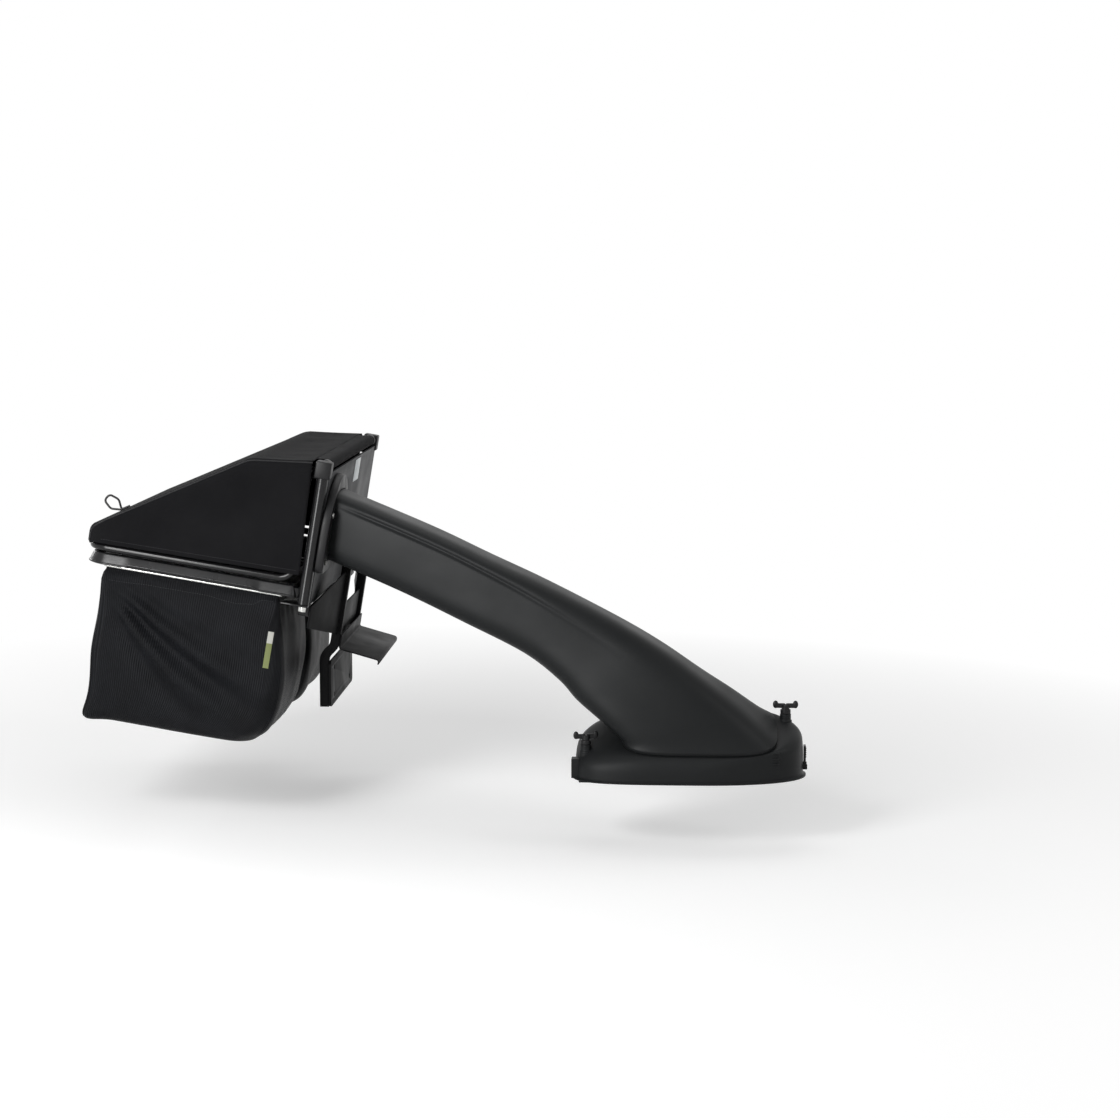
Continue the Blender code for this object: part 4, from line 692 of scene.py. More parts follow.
# The hood: one sewn cover of coated black cloth over the bent frame and the ridge bow, with a piped
# seam along each upper edge, a stitched hem above the rail, and a sleeve at the front round the
# header tube. Between the tubes it hangs a few millimetres slack.
HOOD_HALF_WIDTH = 0.4005
HOOD_REAR = 0.468
HOOD_HEM = 0.0555
HEM_RISE = 0.0045
HEM_FRONT = 0.0155
HOOD_REAR_TOP = 0.087
RIDGE_W = 0.2835
HOOD_FRONT_U = 0.024
HOOD_SIDE_FRONT = 0.0215
HOOD_PLAN_CORNER = 0.034
HOOD_EDGE_ROUND = 0.015
SLEEVE_HALF = 0.340
PIPING = 0.0032
HEM_DEPTH = 0.009
SLEEVE_RADIUS = 0.0116
SLEEVE_LAP = SLEEVE_RADIUS * 0.86
HOOD_CLOTH = 0.0016
HOOD_ACROSS = 96
HOOD_DOWN = 44
HOOD_ALONG = 84
HOOD_SIDE_CROWDING = 1.35
HOOD_STITCH_POINTS = 60


def spaced(path, count):
    """So many points evenly along a path."""
    lengths = [0.0]
    for a, b in zip(path, path[1:]):
        lengths.append(lengths[-1] + (b - a).length)
    points, at = [], 0
    for i in range(count):
        want = lengths[-1] * i / (count - 1)
        while at < len(path) - 2 and lengths[at + 1] < want:
            at += 1
        part = (want - lengths[at]) / max(lengths[at + 1] - lengths[at], 1e-9)
        points.append(path[at].lerp(path[at + 1], min(max(part, 0.0), 1.0)))
    return points


def square_to_round(a, b):
    """A point of a square's outer quarter moved on to the quarter disc in it."""
    return a * math.sqrt(1.0 - b * b / 2.0), b * math.sqrt(1.0 - a * a / 2.0)


def hood_point(u, y, w, top_w):
    """A point of the boxy hood with the plan's rear corners and the upper side edges rounded."""
    sign = math.copysign(1.0, y)
    depth_y = (HOOD_HALF_WIDTH - abs(y)) / HOOD_EDGE_ROUND
    depth_w = (top_w - w) / HOOD_EDGE_ROUND
    if depth_y < 1.0 and depth_w < 1.0:
        a, b = square_to_round(1.0 - depth_y, 1.0 - depth_w)
        y = sign * (HOOD_HALF_WIDTH - HOOD_EDGE_ROUND * (1.0 - a))
        w = top_w - HOOD_EDGE_ROUND * (1.0 - b)
    a = 1.0 - (u + HOOD_REAR) / HOOD_PLAN_CORNER
    b = 1.0 - (HOOD_HALF_WIDTH - abs(y)) / HOOD_PLAN_CORNER
    if a > 0.0 and b > 0.0:
        a, b = square_to_round(a, b)
        u = -HOOD_REAR + HOOD_PLAN_CORNER * (1.0 - a)
        y = sign * (HOOD_HALF_WIDTH - HOOD_PLAN_CORNER * (1.0 - b))
    return Vector((u, y, w))


profile = spaced(rounded_path([(-HOOD_REAR, 0.0, HOOD_HEM), (-HOOD_REAR, 0.0, HOOD_REAR_TOP),
                               (-RIDGE_U, 0.0, RIDGE_W), (-HOOD_FRONT_U, 0.0, HEADER_W + SLEEVE_LAP)],
                              [0.0, 0.022, 0.060, 0.0]), HOOD_ALONG)


def hood_slack(at, seed):
    """How far the cloth hangs in or stands out at a point, away from the tubes that hold it."""
    u, y, w = at
    if abs(y) > HOOD_HALF_WIDTH - 0.012:
        low = ramp(w, HOOD_HEM, HOOD_HEM + 0.05)
        top = HOOD_REAR_TOP + (u + HOOD_REAR) / (HOOD_REAR - RIDGE_U) * (RIDGE_W - HOOD_REAR_TOP)
        high = ramp(min(top, RIDGE_W) - w, 0.0, 0.06)
        hold = low * high * (1.0 - ramp(u, -0.10, -0.03))
        line = math.sin((u * 0.53 + w * 0.85) * 46.0 + seed) * 0.0010
        return -0.0050 * hold + (line + noise.noise(Vector((u * 9.0, seed, w * 9.0))) * 0.0030) * hold
    edge = 1.0 - abs(y / HOOD_HALF_WIDTH) ** 6
    slope = ramp(u, -HOOD_REAR, -0.36) * (1.0 - ramp(u, -0.24, -RIDGE_U - 0.01))
    flat = ramp(u, -RIDGE_U + 0.01, -0.10) * (1.0 - ramp(u, -0.07, -0.03))
    slack = -0.0065 * slope * edge - 0.0030 * flat * edge
    ripple = noise.noise(Vector((u * 6.0 + seed, y * 11.0, 0.0))) * 0.0035
    ripple += noise.noise(Vector((u * 5.0, y * 26.0 + u * 8.0, seed))) * 0.0012
    return slack + ripple * (slope + flat) * edge


def lifted(rows, seed):
    """Rows of points moved along their own normals by the cloth's slack."""
    moved = []
    for i, row in enumerate(rows):
        new_row = []
        for j, p in enumerate(row):
            along = row[min(j + 1, len(row) - 1)] - row[max(j - 1, 0)]
            across = rows[min(i + 1, len(rows) - 1)][j] - rows[max(i - 1, 0)][j]
            normal = along.cross(across)
            if normal.length < 1e-12:
                new_row.append(p.copy())
                continue
            new_row.append(p + normal.normalized() * hood_slack(p, seed))
        moved.append(new_row)
    return moved


def hood_grids():
    """The cover's three cloths, each as rows of tilted points: the long top, and the two sides."""
    edge_dense = [-1.0 + 2.0 * (0.5 - 0.5 * math.cos(math.pi * j / HOOD_ACROSS)) ** 0.75
                  for j in range(HOOD_ACROSS + 1)]
    columns = sorted({round(0.5 * (a - b), 5) for a, b in zip(edge_dense, reversed(edge_dense))},
                     reverse=True)
    top = [[hood_point(p.x, HOOD_HALF_WIDTH * c, p.z, p.z) for c in columns] for p in profile]
    sides = []
    for side in (-1.0, 1.0):
        rows = []
        for row_number in range(HOOD_DOWN + 1):
            part = row_number / HOOD_DOWN
            row = []
            for i, p in enumerate(profile):
                share = i / (len(profile) - 1)
                hem = Vector((-HOOD_REAR + share * (HOOD_REAR - HEM_FRONT), 0.0,
                              HOOD_HEM + HEM_RISE * share))
                top_at = Vector((min(p.x, -HOOD_SIDE_FRONT), 0.0, p.z))
                at = top_at.lerp(hem, 1.0 - (1.0 - part) ** HOOD_SIDE_CROWDING)
                row.append(hood_point(at.x, side * HOOD_HALF_WIDTH, at.z, top_at.z))
            rows.append(row)
        sides.append(rows)
    return top, sides


top_rows, side_rows = hood_grids()
top_rows = lifted(top_rows, 2.3)
right_rows = lifted([row[::-1] for row in side_rows[0]], 5.1)
left_rows = lifted(side_rows[1], 8.4)


def coated_cloth():
    cloth = new_finish("coated_black_cloth", (0.006, 0.006, 0.007), 0.75, 0.03)
    tree = cloth.node_tree
    place = node_in(tree, "ShaderNodeUVMap", uv_map="cloth")
    weave = node_in(tree, "ShaderNodeTexBrick",
                    [("Vector", place.outputs["UV"]), ("Scale", 620.0), ("Mortar Size", 0.06),
                     ("Brick Width", 0.5), ("Row Height", 0.5), ("Color1", (1.0, 1.0, 1.0, 1.0)),
                     ("Color2", (0.7, 0.7, 0.7, 1.0)), ("Mortar", (0.0, 0.0, 0.0, 1.0))])
    worn = clouds(cloth, 9.0, 6.0)
    tint(cloth, worn, (0.0040, 0.0040, 0.0046), (0.0100, 0.0100, 0.0108))
    emboss(cloth, weave.outputs["Color"], 0.0002, 0.5)
    emboss(cloth, clouds(cloth, 70.0, 5.0), 0.0008, 0.35)
    shader = tree.nodes["Principled BSDF"]
    shader.inputs["Sheen Weight"].default_value = 0.015
    shader.inputs["Sheen Roughness"].default_value = 0.5
    return cloth


hood_cloth = coated_cloth()
sleeve_rows = []
for turn in range(14):
    angle = math.radians(94.0 - 12.0 * turn)
    sleeve_rows.append([Vector((SLEEVE_RADIUS * math.cos(angle), SLEEVE_HALF - SLEEVE_HALF * 2 * j / 60,
                                HEADER_W + SLEEVE_RADIUS * math.sin(angle))) for j in range(61)])
sleeve_rows.insert(0, [Vector((-HOOD_FRONT_U, p.y, HEADER_W + SLEEVE_LAP)) for p in sleeve_rows[0]])
hood_parts = []
for label, rows in (("top", top_rows), ("right", right_rows), ("left", left_rows), ("sleeve", sleeve_rows)):
    hood_parts.append(skin("hood_" + label, [[tilted(*p) for p in row] for row in rows], closed=False))
bm = bmesh.new()
for part in hood_parts:
    bm.from_mesh(part)
bmesh.ops.remove_doubles(bm, verts=bm.verts, dist=0.0008)
hood = dressed("hood_cover_sewn", filled("hood_cover_sewn", bm), hood_cloth, "hood",
               ["hood_cover"], smooth=math.radians(60.0))
add_wall(hood, "cloth", HOOD_CLOTH)
hood_surface = cloth_surface(hood)
piping_cloth = new_finish("black_piping", (0.010, 0.010, 0.011), 0.50, 0.15,
                          grain=[(900.0, 2.0, 0.0002, 0.6)])
for word, side in (("right", -1.0), ("left", 1.0)):
    edge = [tilted(*hood_point(p.x, side * HOOD_HALF_WIDTH, p.z, p.z)) for p in profile[1:]]
    cord = tube_mesh("hood_piping", edge, PIPING, piping_cloth, sides=10)
    dressed("hood_piping_" + word, cord, piping_cloth, "hood")
    line = []
    for i in range(HOOD_STITCH_POINTS):
        share = i / (HOOD_STITCH_POINTS - 1)
        u = -HOOD_REAR + HOOD_PLAN_CORNER + share * (HOOD_REAR - HOOD_PLAN_CORNER - HOOD_SIDE_FRONT - 0.004)
        line.append(on_side(hood_surface, u, HOOD_HEM + HEM_RISE * share + HEM_DEPTH, side, 0.0001))
    sewn_line("hood_hem_stitches_" + word, line, "hood")

# The moulded fittings: corner caps, hinge clips and the rear clamp in black nylon, the two rubber
# bumpers, and the plain pull loop, a stiff black cord fixed to the rear of the hood.
FITTING_EDGE = 0.0012
LOOP_WIRE = 0.0046
black_nylon = new_finish("moulded_black_nylon", (0.008, 0.008, 0.0085), 0.40, 0.18,
                         gloss=(30.0, 3.0, 0.34, 0.52), grain=[(1500.0, 2.0, 0.00006, 0.6)])
ease_pieces(("corner_cap_right", "corner_cap_left", "hinge_clip_right", "hinge_clip_left", "rear_clamp"),
            "_moulded", FITTING_EDGE, black_nylon)
rubber = new_finish("matt_rubber", (0.009, 0.009, 0.009), 0.85, 0.1, grain=[(700.0, 3.0, 0.0001, 0.7)])
ease_pieces(("hood_bumper_right", "hood_bumper_left"), "_soft", FITTING_EDGE, rubber, 3)
slope_run = Vector((HOOD_REAR - RIDGE_U, 0.0, RIDGE_W - HOOD_REAR_TOP)).normalized()
slope_up = Vector((-slope_run.z, 0.0, slope_run.x))
loop_y = (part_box("pull_loop")[0].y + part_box("pull_loop")[1].y) / 2
loop_foot = Vector((-HOOD_REAR, loop_y, HOOD_REAR_TOP)) + slope_run * 0.030 + slope_up * (LOOP_WIRE / 2)
loop_lean = (slope_up * 0.9 - slope_run * 0.45).normalized()
loop_across = Vector((loop_lean.z, 0.0, -loop_lean.x))
loop_shape = [(0.020, -0.004, 0.0, 0.0), (0.0, -0.004, 0.0, 0.0), (0.0, -0.0024, -0.013, 0.018),
              (0.0, -0.0008, -0.0086, 0.040), (0.0, 0.0008, 0.0086, 0.040), (0.0, 0.0024, 0.013, 0.018),
              (0.0, 0.004, 0.0, 0.0), (0.020, 0.004, 0.0, 0.0)]
loop_corners = [loop_foot + slope_run * run + Vector((0.0, y, 0.0)) + loop_across * across + loop_lean * up
                for run, y, across, up in loop_shape]
loop_bends = [0.0, 0.004, 0.012, 0.0085, 0.0085, 0.012, 0.004, 0.0]
loop_path = [tilted(*p) for p in rounded_path(loop_corners, loop_bends)]
loop_cord = new_finish("stiff_black_cord", (0.008, 0.008, 0.008), 0.36, 0.3)
emboss(loop_cord, clouds(loop_cord, 600.0, 2.0, (1.0, 1.0, 3.0)), 0.0003, 0.8)
dressed("pull_loop_cord", tube_mesh("pull_loop_cord", loop_path, LOOP_WIRE, loop_cord, sides=16), loop_cord,
        "hood", ["pull_loop"])

# The front panel closes the space between the posts: a stiff dark grey moulded sheet with a thin pale
# blue-grey sheet near its top. The chute's collar is an arch-topped black moulding held by four screws.
PALE_SHEET_EDGE = 0.0002
COLLAR_EDGE = 0.0030
SCREW_EDGE = 0.0010
panel_plastic = new_finish("dark_grey_sheet", (0.034, 0.035, 0.037), 0.48, 0.08,
                           gloss=(12.0, 4.0, 0.42, 0.56), grain=[(900.0, 2.0, 0.00008, 0.5)])
ease_pieces(["front_panel"], "_moulded", FITTING_EDGE, panel_plastic)
# A thin pale blue-grey sheet on the panel, near its top.
pale_sheet_film = new_finish("pale_blue_grey_sheet", (0.60, 0.65, 0.66), 0.35, 0.5, gloss=(40.0, 2.0, 0.28, 0.45))
ease_pieces(["panel_label"], "_film", PALE_SHEET_EDGE, pale_sheet_film)
ease_pieces(["chute_collar"], "_moulded", COLLAR_EDGE, black_nylon, 3)
dull_zinc = new_finish("dull_zinc", (0.16, 0.16, 0.155), 0.5, metallic=1.0, gloss=(200.0, 3.0, 0.40, 0.60))
ease_pieces(["collar_screw_%d" % number for number in range(1, 5)], "_zinc", SCREW_EDGE, dull_zinc,
            3)
ease_pieces(["post_bolt_right", "post_bolt_left"], "_zinc", SCREW_EDGE, bright_zinc, 3)

# The chute: one blow-moulded duct in matt black plastic, rounded square in section, with a rounded
# shoulder along each upper side and a groove under it that fades out where the duct widens and
# turns down to its lip. A fine parting line runs along its top and its underside.
CHUTE_HALF_WIDTH = 0.079
CHUTE_Y = -0.270
LIP_FRONT_X = 0.957
LIP_REAR_X = 0.640
LIP_Y = -0.4475
LIP_Z = -0.045
LIP_TILT = 0.45
CUFF_HEIGHT = 0.008
CHUTE_WALL = 0.003
CHUTE_SIDES = 152
GROOVE_HIGH = 0.66
GROOVE_LOW = 0.42
GROOVE_DEPTH = 0.0034
lip_normal = Vector((0.0, -LIP_TILT, 1.0)).normalized()
cuff_top = Vector((0.0, LIP_Y, LIP_Z)) + lip_normal * CUFF_HEIGHT
collar_top = tilted(0.0, 0.0, 0.2425)
collar_low = tilted(0.0, 0.0, 0.0968)
CHUTE_STATIONS = [
    (collar_top.x, collar_top.z, collar_low.x, collar_low.z, CHUTE_Y, 0.0, 4.6),
    (0.229, 0.362, 0.175, 0.229, -0.312, 0.0, 4.6),
    (0.360, 0.306, 0.311, 0.169, -0.345, 0.0, 4.4),
    (0.483, 0.254, 0.436, 0.111, -0.375, 0.0, 4.2),
    (0.632, 0.182, 0.508, 0.060, -0.400, 0.0, 4.0),
    (0.721, 0.132, 0.545, 0.024, -0.420, 0.05, 3.8),
    (0.805, 0.075, 0.583, -0.004, -0.435, 0.12, 3.7),
    (0.870, 0.029, 0.612, -0.022, -0.443, 0.24, 3.7),
    (0.927, -0.016, 0.632, -0.034, -0.447, 0.36, 3.8),
    (LIP_FRONT_X, cuff_top.z, LIP_REAR_X, cuff_top.z, cuff_top.y, LIP_TILT, 4.0)]


def chute_ring(station):
    """One ring of the duct, with the shoulder, the groove and the parting lines raised on it."""
    top_x, top_z, low_x, low_z, middle_y, lean, square = station
    middle = Vector(((top_x + low_x) / 2, middle_y, (top_z + low_z) / 2))
    half = Vector(((top_x - low_x) / 2, 0.0, (top_z - low_z) / 2))
    side = Vector((0.0, CHUTE_HALF_WIDTH, lean * CHUTE_HALF_WIDTH))
    fade = 1.0 - ramp(middle.x, 0.34, 0.66)
    start = ramp(middle.x, 0.02, 0.09)
    ring = []
    for k in range(CHUTE_SIDES):
        angle = 2 * math.pi * (k + 0.5) / CHUTE_SIDES
        across = math.copysign(abs(math.cos(angle)) ** (2 / square), math.cos(angle))
        along = math.copysign(abs(math.sin(angle)) ** (2 / square), math.sin(angle))
        groove = GROOVE_HIGH - (GROOVE_HIGH - GROOVE_LOW) * ramp(middle.x, 0.28, 0.62)
        swell = 0.0022 * ramp(along, groove + 0.02, groove + 0.16)
        swell -= GROOVE_DEPTH * math.exp(-((along - groove) / 0.050) ** 2)
        swell *= fade * start
        seam = 0.0009 * math.exp(-(across / 0.018) ** 2)
        point = middle + side * (across * (1.0 + swell / CHUTE_HALF_WIDTH))
        ring.append(point + half * (along * (1.0 + seam / half.length)))
    return ring


def chute_plastic():
    plastic = new_finish("blow_moulded_black", (0.009, 0.0095, 0.010), 0.42, 0.12)
    vary(plastic, "Roughness", clouds(plastic, 6.0, 5.0, (1.0, 1.0, 1.6)), 0.38, 0.50)
    tint(plastic, clouds(plastic, 5.0, 4.0), (0.0060, 0.0066, 0.0070), (0.0100, 0.0108, 0.0112))
    emboss(plastic, clouds(plastic, 1100.0, 2.0), 0.00010, 0.6)
    emboss(plastic, clouds(plastic, 11.0, 2.0), 0.0016, 0.25)
    return plastic


black_moulding = chute_plastic()
rings = [chute_ring(station) for station in smooth_levels(CHUTE_STATIONS, 9)]
for step in range(1, 4):
    rings.append([p - lip_normal * CUFF_HEIGHT * step / 3 for p in rings[-step]])
chute = dressed("chute_blown", skin("chute_blown", rings), black_moulding, "frame",
                ["chute"], smooth=math.radians(50.0))
add_wall(chute, "wall", CHUTE_WALL)

# The deck adapter: a domed moulding that clamps on the deck round its discharge. Its neck sits in the
# chute's lip, it is open below and towards the deck, and its flange runs round the foot.
ADAPTER_X = 0.7775
ADAPTER_HALF_LENGTH = 0.2345
ADAPTER_Y = -0.420
ADAPTER_NEAR_Y = -0.541
ADAPTER_DECK_Y = -0.345
ADAPTER_BASE = -0.1355
ADAPTER_FLANGE = 0.006
ADAPTER_WALL = 0.003
DECK_OPENING = 0.330
DECK_OPENING_TOP = -0.040


def signed_power(value, power):
    return math.copysign(abs(value) ** power, value)


def base_point(angle, grow=0.0):
    power = 2.0 / (2.3 if math.cos(angle) > 0 else 4.0)
    along = signed_power(math.sin(angle), power)
    reach = (ADAPTER_DECK_Y if along > 0 else ADAPTER_NEAR_Y) - ADAPTER_Y
    return (ADAPTER_X + (ADAPTER_HALF_LENGTH + grow) * signed_power(math.cos(angle), power),
            ADAPTER_Y + reach * abs(along) * (1 + grow / abs(reach)))


def lip_point(angle, grow, pull=0.0):
    across = signed_power(math.cos(angle), 0.5)
    x = (LIP_FRONT_X + LIP_REAR_X) / 2 + ((LIP_FRONT_X - LIP_REAR_X) / 2 + grow) * across
    return x - pull * max(across, 0.0), LIP_Y + (CHUTE_HALF_WIDTH + grow) * signed_power(math.sin(angle), 0.5)


def lip_height(y):
    return LIP_Z + (y - LIP_Y) * LIP_TILT


def adapter_rows():
    angles = [2 * math.pi * (k + 0.5) / CHUTE_SIDES for k in range(CHUTE_SIDES)]
    flange = [(ADAPTER_FLANGE, 0.0), (ADAPTER_FLANGE, 0.0022), (ADAPTER_FLANGE - 0.001, 0.0032),
              (0.0012, 0.0034), (0.0, 0.0046)]
    rows = [[Vector((*base_point(a, grow), ADAPTER_BASE + rise)) for a in angles] for grow, rise in flange]
    for step in range(1, 17):
        part = step / 16
        row = []
        for a in angles:
            front = max(math.cos(a), 0.0)
            inwards = ramp(part, 0.25 + 0.10 * front, 1.0) * 0.55 + 0.45 * part ** (2.2 + 0.5 * front)
            upwards = 1.0 - (1.0 - part) ** (1.9 + 0.9 * front)
            bx, by = base_point(a)
            lx, ly = lip_point(a, 0.003)
            x, y = bx + (lx - bx) * inwards, by + (ly - by) * inwards
            row.append(Vector((x, y, ADAPTER_BASE + 0.0046
                               + (lip_height(y) - 0.0003 - ADAPTER_BASE - 0.0046) * upwards)))
        rows.append(row)
    for rise, pull in ((0.0, 0.0), (0.008, 0.006)):
        row = []
        for a in angles:
            x, y = lip_point(a, -CHUTE_WALL - 0.0014 - rise * 0.10, pull)
            row.append(Vector((x, y, lip_height(y) - 0.0003)) + lip_normal * rise)
        rows.append(row)
    return rows


def cut_deck_mouth(mesh):
    """Cut the opening towards the deck out of the shell's straight side."""
    low_x, high_x = ADAPTER_X - DECK_OPENING / 2, ADAPTER_X + DECK_OPENING / 2
    rear_y = ADAPTER_DECK_Y - 0.020
    bm = bmesh.new()
    bm.from_mesh(mesh)
    for at, normal in (((low_x, 0.0, 0.0), (1.0, 0.0, 0.0)), ((high_x, 0.0, 0.0), (1.0, 0.0, 0.0)),
                       ((0.0, rear_y, 0.0), (0.0, 1.0, 0.0)),
                       ((0.0, 0.0, DECK_OPENING_TOP), (0.0, 0.0, 1.0))):
        bmesh.ops.bisect_plane(bm, geom=bm.verts[:] + bm.edges[:] + bm.faces[:], dist=0.00005,
                               plane_co=at, plane_no=normal)
    taken = [face for face in bm.faces if low_x < face.calc_center_median().x < high_x
             and face.calc_center_median().y > rear_y and face.calc_center_median().z < DECK_OPENING_TOP]
    bmesh.ops.delete(bm, geom=taken, context="FACES")
    bm.to_mesh(mesh)
    bm.free()
    return mesh


shell = cut_deck_mouth(skin("adapter_shell", adapter_rows()))
adapter = dressed("deck_adapter_moulded", shell, black_moulding, "frame",
                  ["deck_adapter"], smooth=math.radians(40.0))
add_wall(adapter, "wall", ADAPTER_WALL)

# What clamps the adapter: two knobs with rounded wings on round bosses, and a ribbed latch that
# swings on a pin between two lugs at the front. A block and three small ribs stand on the shell.
FRONT_KNOB = (0.976, -0.395)
REAR_KNOB = (0.5665, -0.478)
FRONT_BOSS_TOP = -0.014
REAR_BOSS_TOP = -0.066
REAR_KNOB_TURN = math.radians(15.0)
BOSS_DIAMETER = 0.020
LATCH_WIDTH = 0.021
LATCH_X = 1.0153
LATCH_Z = -0.118


def fused(name, shapes, voxel):
    """Overlapping solids made one smooth skin."""
    bm = bmesh.new()
    for kind, at, size, sides in shapes:
        if kind == "rod":
            made = bmesh.ops.create_cone(bm, cap_ends=True, segments=sides, radius1=0.5, radius2=0.5,
                                         depth=1.0)
        elif kind == "ball":
            made = bmesh.ops.create_uvsphere(bm, u_segments=sides, v_segments=sides // 2, radius=0.5)
        else:
            made = bmesh.ops.create_cube(bm, size=1.0)
        bmesh.ops.scale(bm, vec=size, verts=made["verts"])
        bmesh.ops.translate(bm, vec=at, verts=made["verts"])
    lump = bpy.data.objects.new(name, filled(name, bm))
    bpy.context.scene.collection.objects.link(lump)
    melt = lump.modifiers.new("melt", "REMESH")
    melt.mode = "VOXEL"
    melt.voxel_size = voxel
    soften = lump.modifiers.new("soften", "SMOOTH")
    soften.iterations = 3
    result = bpy.data.meshes.new_from_object(lump.evaluated_get(bpy.context.evaluated_depsgraph_get()))
    bpy.data.objects.remove(lump)
    return result


def knob_mesh(name, at, boss_top, turn):
    shapes = [("rod", (0.0, 0.0, 0.0095), (0.0160, 0.0160, 0.019), 32),
              ("rod", (0.0, 0.0, 0.0045), (0.0215, 0.0215, 0.0085), 32)]
    for side in (-1.0, 1.0):
        shapes += [("box", (side * 0.0125, 0.0, 0.0165), (0.022, 0.0056, 0.0095), 4),
                   ("ball", (side * 0.0205, 0.0, 0.0190), (0.0115, 0.0074, 0.0165), 20)]
    mesh = fused(name, shapes, 0.0006)
    bm = bmesh.new()
    bm.from_mesh(mesh)
    bmesh.ops.rotate(bm, cent=(0.0, 0.0, 0.0), verts=bm.verts,
                     matrix=Vector((1.0, 0.0, 0.0)).rotation_difference(
                         Vector((math.cos(turn), math.sin(turn), 0.0))).to_matrix())
    bmesh.ops.translate(bm, vec=(*at, boss_top + 0.0003), verts=bm.verts)
    bm.to_mesh(mesh)
    bm.free()
    return mesh


for word, at, top, turn in (("front", FRONT_KNOB, FRONT_BOSS_TOP, 0.0),
                            ("rear", REAR_KNOB, REAR_BOSS_TOP, REAR_KNOB_TURN)):
    dressed("wing_knob_moulded_" + word, knob_mesh("wing_knob_" + word, at, top, turn), black_nylon,
            "knob_" + word, ["wing_knob_" + word], smooth=math.radians(60.0))
    boss = [("rod", (*at, top - 0.0225), (BOSS_DIAMETER * 1.15, BOSS_DIAMETER * 1.15, 0.045), 40),
            ("rod", (*at, top - 0.0290), (BOSS_DIAMETER * 1.35, BOSS_DIAMETER * 1.35, 0.032), 40)]
    dressed("knob_boss_" + word, fused("knob_boss", boss, 0.0009), black_moulding, "frame",
            smooth=math.radians(60.0))
adapter_surface = cloth_surface(adapter)
ribs = [("box", (0.5455, -0.478, -0.1145), (0.0165, 0.026, 0.040), 4)]
for height in (-0.0980, -0.0870, -0.0760):
    at = adapter_surface.ray_cast(Vector((0.9525, -0.7, height)), Vector((0.0, 1.0, 0.0)))[0]
    ribs.append(("box", at, (0.016, 0.007, 0.0028), 4))
for side in (-1.0, 1.0):
    ribs.append(("box", (LATCH_X - 0.0025, ADAPTER_Y + side * (LATCH_WIDTH / 2 + 0.0027), LATCH_Z + 0.0005),
                 (0.015, 0.0040, 0.011), 4))
dressed("adapter_ribs", fused("adapter_ribs", ribs, 0.0007), black_moulding, "frame",
        smooth=math.radians(60.0))
latch_low, latch_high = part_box("front_latch")
latch_x = (latch_low.x + latch_high.x) / 2
latch_shapes = [("box", (latch_x, ADAPTER_Y, (latch_low.z + latch_high.z) / 2 + 0.0022),
                 (0.0046, LATCH_WIDTH, latch_high.z - latch_low.z - 0.0064), 4),
                ("ball", (latch_x, ADAPTER_Y, latch_low.z + 0.003),
                 (0.0056, LATCH_WIDTH - 0.002, 0.0056), 24)]
for ridge in range(5):
    latch_shapes.append(("box", (latch_x + 0.0022, ADAPTER_Y, latch_high.z - 0.006 - ridge * 0.0045),
                         (0.0022, LATCH_WIDTH - 0.003, 0.0018), 4))
dressed("front_latch_ribbed", fused("front_latch_ribbed", latch_shapes, 0.00055), black_nylon,
        "latch", ["front_latch"], smooth=math.radians(60.0))

# A pale floor and a plain white room, a tall softbox at the left front that draws the long white
# lines on the tubes, a small one over it, and others above, at the right and behind.
FLOOR_Z = -0.28
FLOOR_SIZE = 40.0
FLOOR_GLOW = 0.30
ROOM_LIGHT = 0.22
FLOOR_FADE_START = 1.0
FLOOR_FADE_END = 2.6
CAMERA_DOWN = 7.002
CAMERA_ROUND = 2.926


def seen_rays(tree):
    """One for the rays by which the camera, a shiny or a clear surface sees the room."""
    path = tree.nodes.new("ShaderNodeLightPath")
    first = node_in(tree, "ShaderNodeMath", [(0, path.outputs["Is Camera Ray"]),
                                             (1, path.outputs["Is Glossy Ray"])], operation="MAXIMUM")
    both = node_in(tree, "ShaderNodeMath", [(0, first.outputs[0]),
                                            (1, path.outputs["Is Transmission Ray"])], operation="MAXIMUM")
    return both.outputs[0]


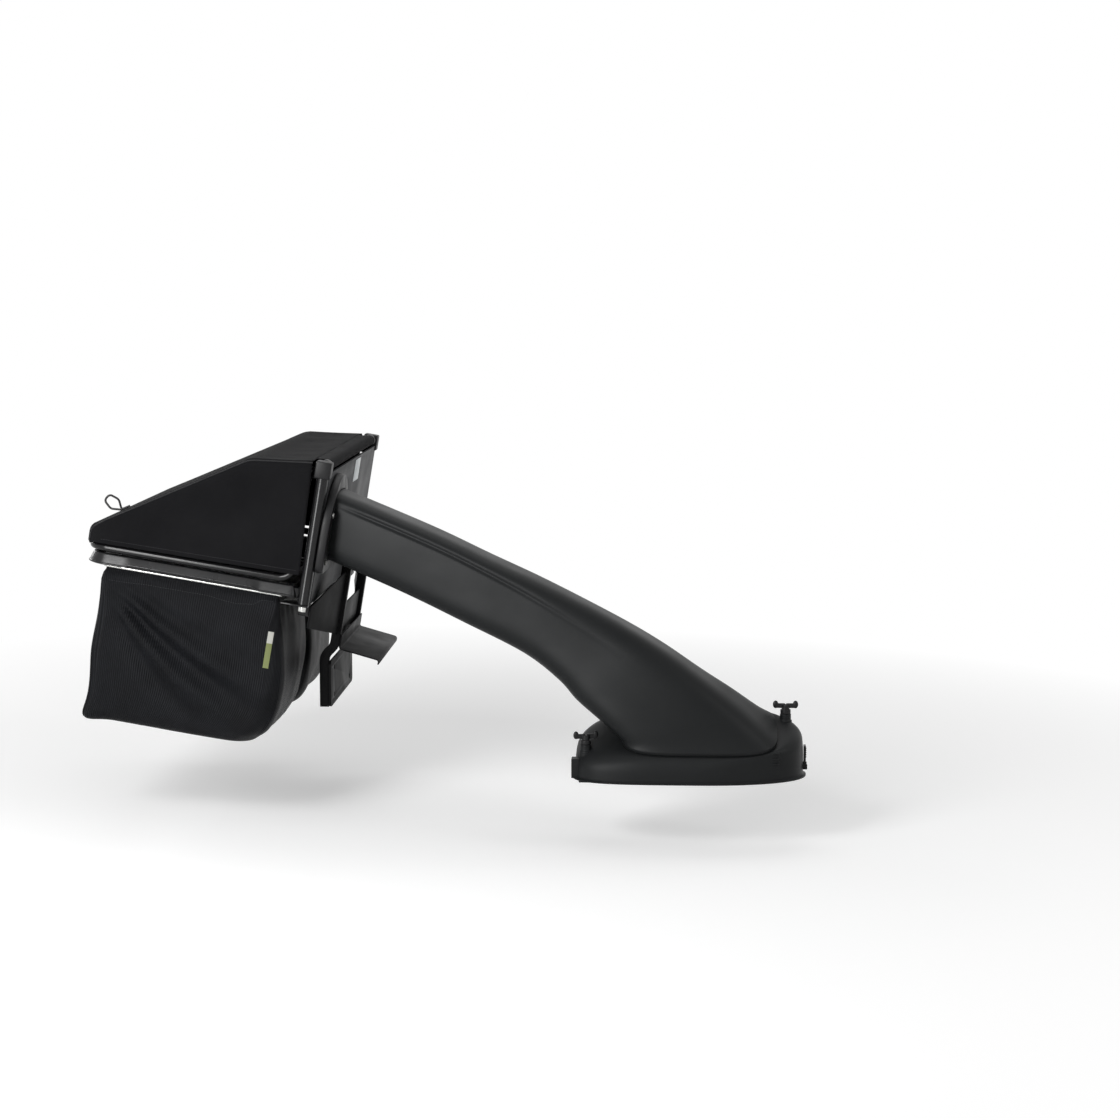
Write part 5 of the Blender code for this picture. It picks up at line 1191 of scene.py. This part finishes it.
def floor_and_room():
    bm = bmesh.new()
    bmesh.ops.create_grid(bm, x_segments=1, y_segments=1, size=FLOOR_SIZE / 2)
    bmesh.ops.translate(bm, vec=(0.0, 0.0, FLOOR_Z), verts=bm.verts)
    mesh = filled("pale_floor", bm)
    floor = bpy.data.objects.new("pale_floor", mesh)
    bpy.context.scene.collection.objects.link(floor)
    pale = new_finish("pale_floor", (0.80, 0.80, 0.80), 0.9, 0.0)
    tree = pale.node_tree
    shader = tree.nodes["Principled BSDF"]
    place = tree.nodes.new("ShaderNodeTexCoord")
    far = node_in(tree, "ShaderNodeVectorMath", [(0, place.outputs["Object"])], operation="LENGTH")
    fade = node_in(tree, "ShaderNodeMapRange",
                   [("Value", far.outputs["Value"]), ("From Min", FLOOR_FADE_START),
                    ("From Max", FLOOR_FADE_END)])
    seen = seen_rays(tree)
    strength = node_in(tree, "ShaderNodeMath", [(0, seen), (1, FLOOR_GLOW)], operation="MULTIPLY")
    glow = node_in(tree, "ShaderNodeEmission", [("Strength", strength.outputs[0])])
    lit = node_in(tree, "ShaderNodeAddShader", [(0, shader.outputs[0]), (1, glow.outputs[0])])
    white = node_in(tree, "ShaderNodeEmission", [("Strength", seen)])
    share = node_in(tree, "ShaderNodeMath", [(0, seen), (1, fade.outputs["Result"])], operation="MULTIPLY")
    total = node_in(tree, "ShaderNodeMixShader", [(0, share.outputs[0]), (1, lit.outputs[0]),
                                                  (2, white.outputs[0])])
    tree.links.new(total.outputs[0], tree.nodes["Material Output"].inputs["Surface"])
    mesh.materials.append(pale)
    room = bpy.data.worlds.new("white_room")
    bpy.context.scene.world = room
    room.use_nodes = True
    tree = room.node_tree
    back = tree.nodes["Background"]
    back.inputs["Color"].default_value = (1.0, 1.0, 1.0, 1.0)
    lit = node_in(tree, "ShaderNodeMath", [(0, seen_rays(tree)), (1, ROOM_LIGHT)], operation="MAXIMUM")
    tree.links.new(lit.outputs[0], back.inputs["Strength"])


def softbox(name, at, towards, width, height, power):
    light = bpy.data.lights.new(name, "AREA")
    light.shape = "RECTANGLE"
    light.size = width
    light.size_y = height
    light.energy = power
    lamp = bpy.data.objects.new(name, light)
    lamp.location = at
    lamp.rotation_euler = (Vector(towards) - Vector(at)).to_track_quat("-Z", "Y").to_euler()
    bpy.context.scene.collection.objects.link(lamp)


floor_and_room()
softbox("key", (-1.3, -3.1, 1.05), (0.2, -0.3, 0.1), 1.2, 2.8, 120.0)
softbox("rim_light", (-0.72, -3.0, 1.86), (-0.3, -0.4, 0.2), 0.62, 0.45, 13.0)
softbox("top_fill", (0.4, 0.6, 3.0), (0.2, 0.0, 0.0), 2.4, 1.8, 14.0)
softbox("right_fill", (3.0, -1.5, 1.4), (0.3, -0.3, 0.1), 0.8, 1.4, 14.0)
softbox("rear_fill", (-3.0, 2.4, 1.8), (0.0, 0.0, 0.1), 1.2, 1.6, 40.0)

camera_data = bpy.data.cameras.new("camera")
camera_data.lens = 81.13
camera_data.sensor_width = 36.0
camera = bpy.data.objects.new("camera", camera_data)
camera.location = (0.773, -5.551, 0.937)
camera.rotation_euler = (math.radians(90.0 - CAMERA_DOWN), 0.0, math.radians(CAMERA_ROUND))
bpy.context.scene.collection.objects.link(camera)
bpy.context.scene.camera = camera
bpy.context.scene.view_settings.view_transform = "Standard"
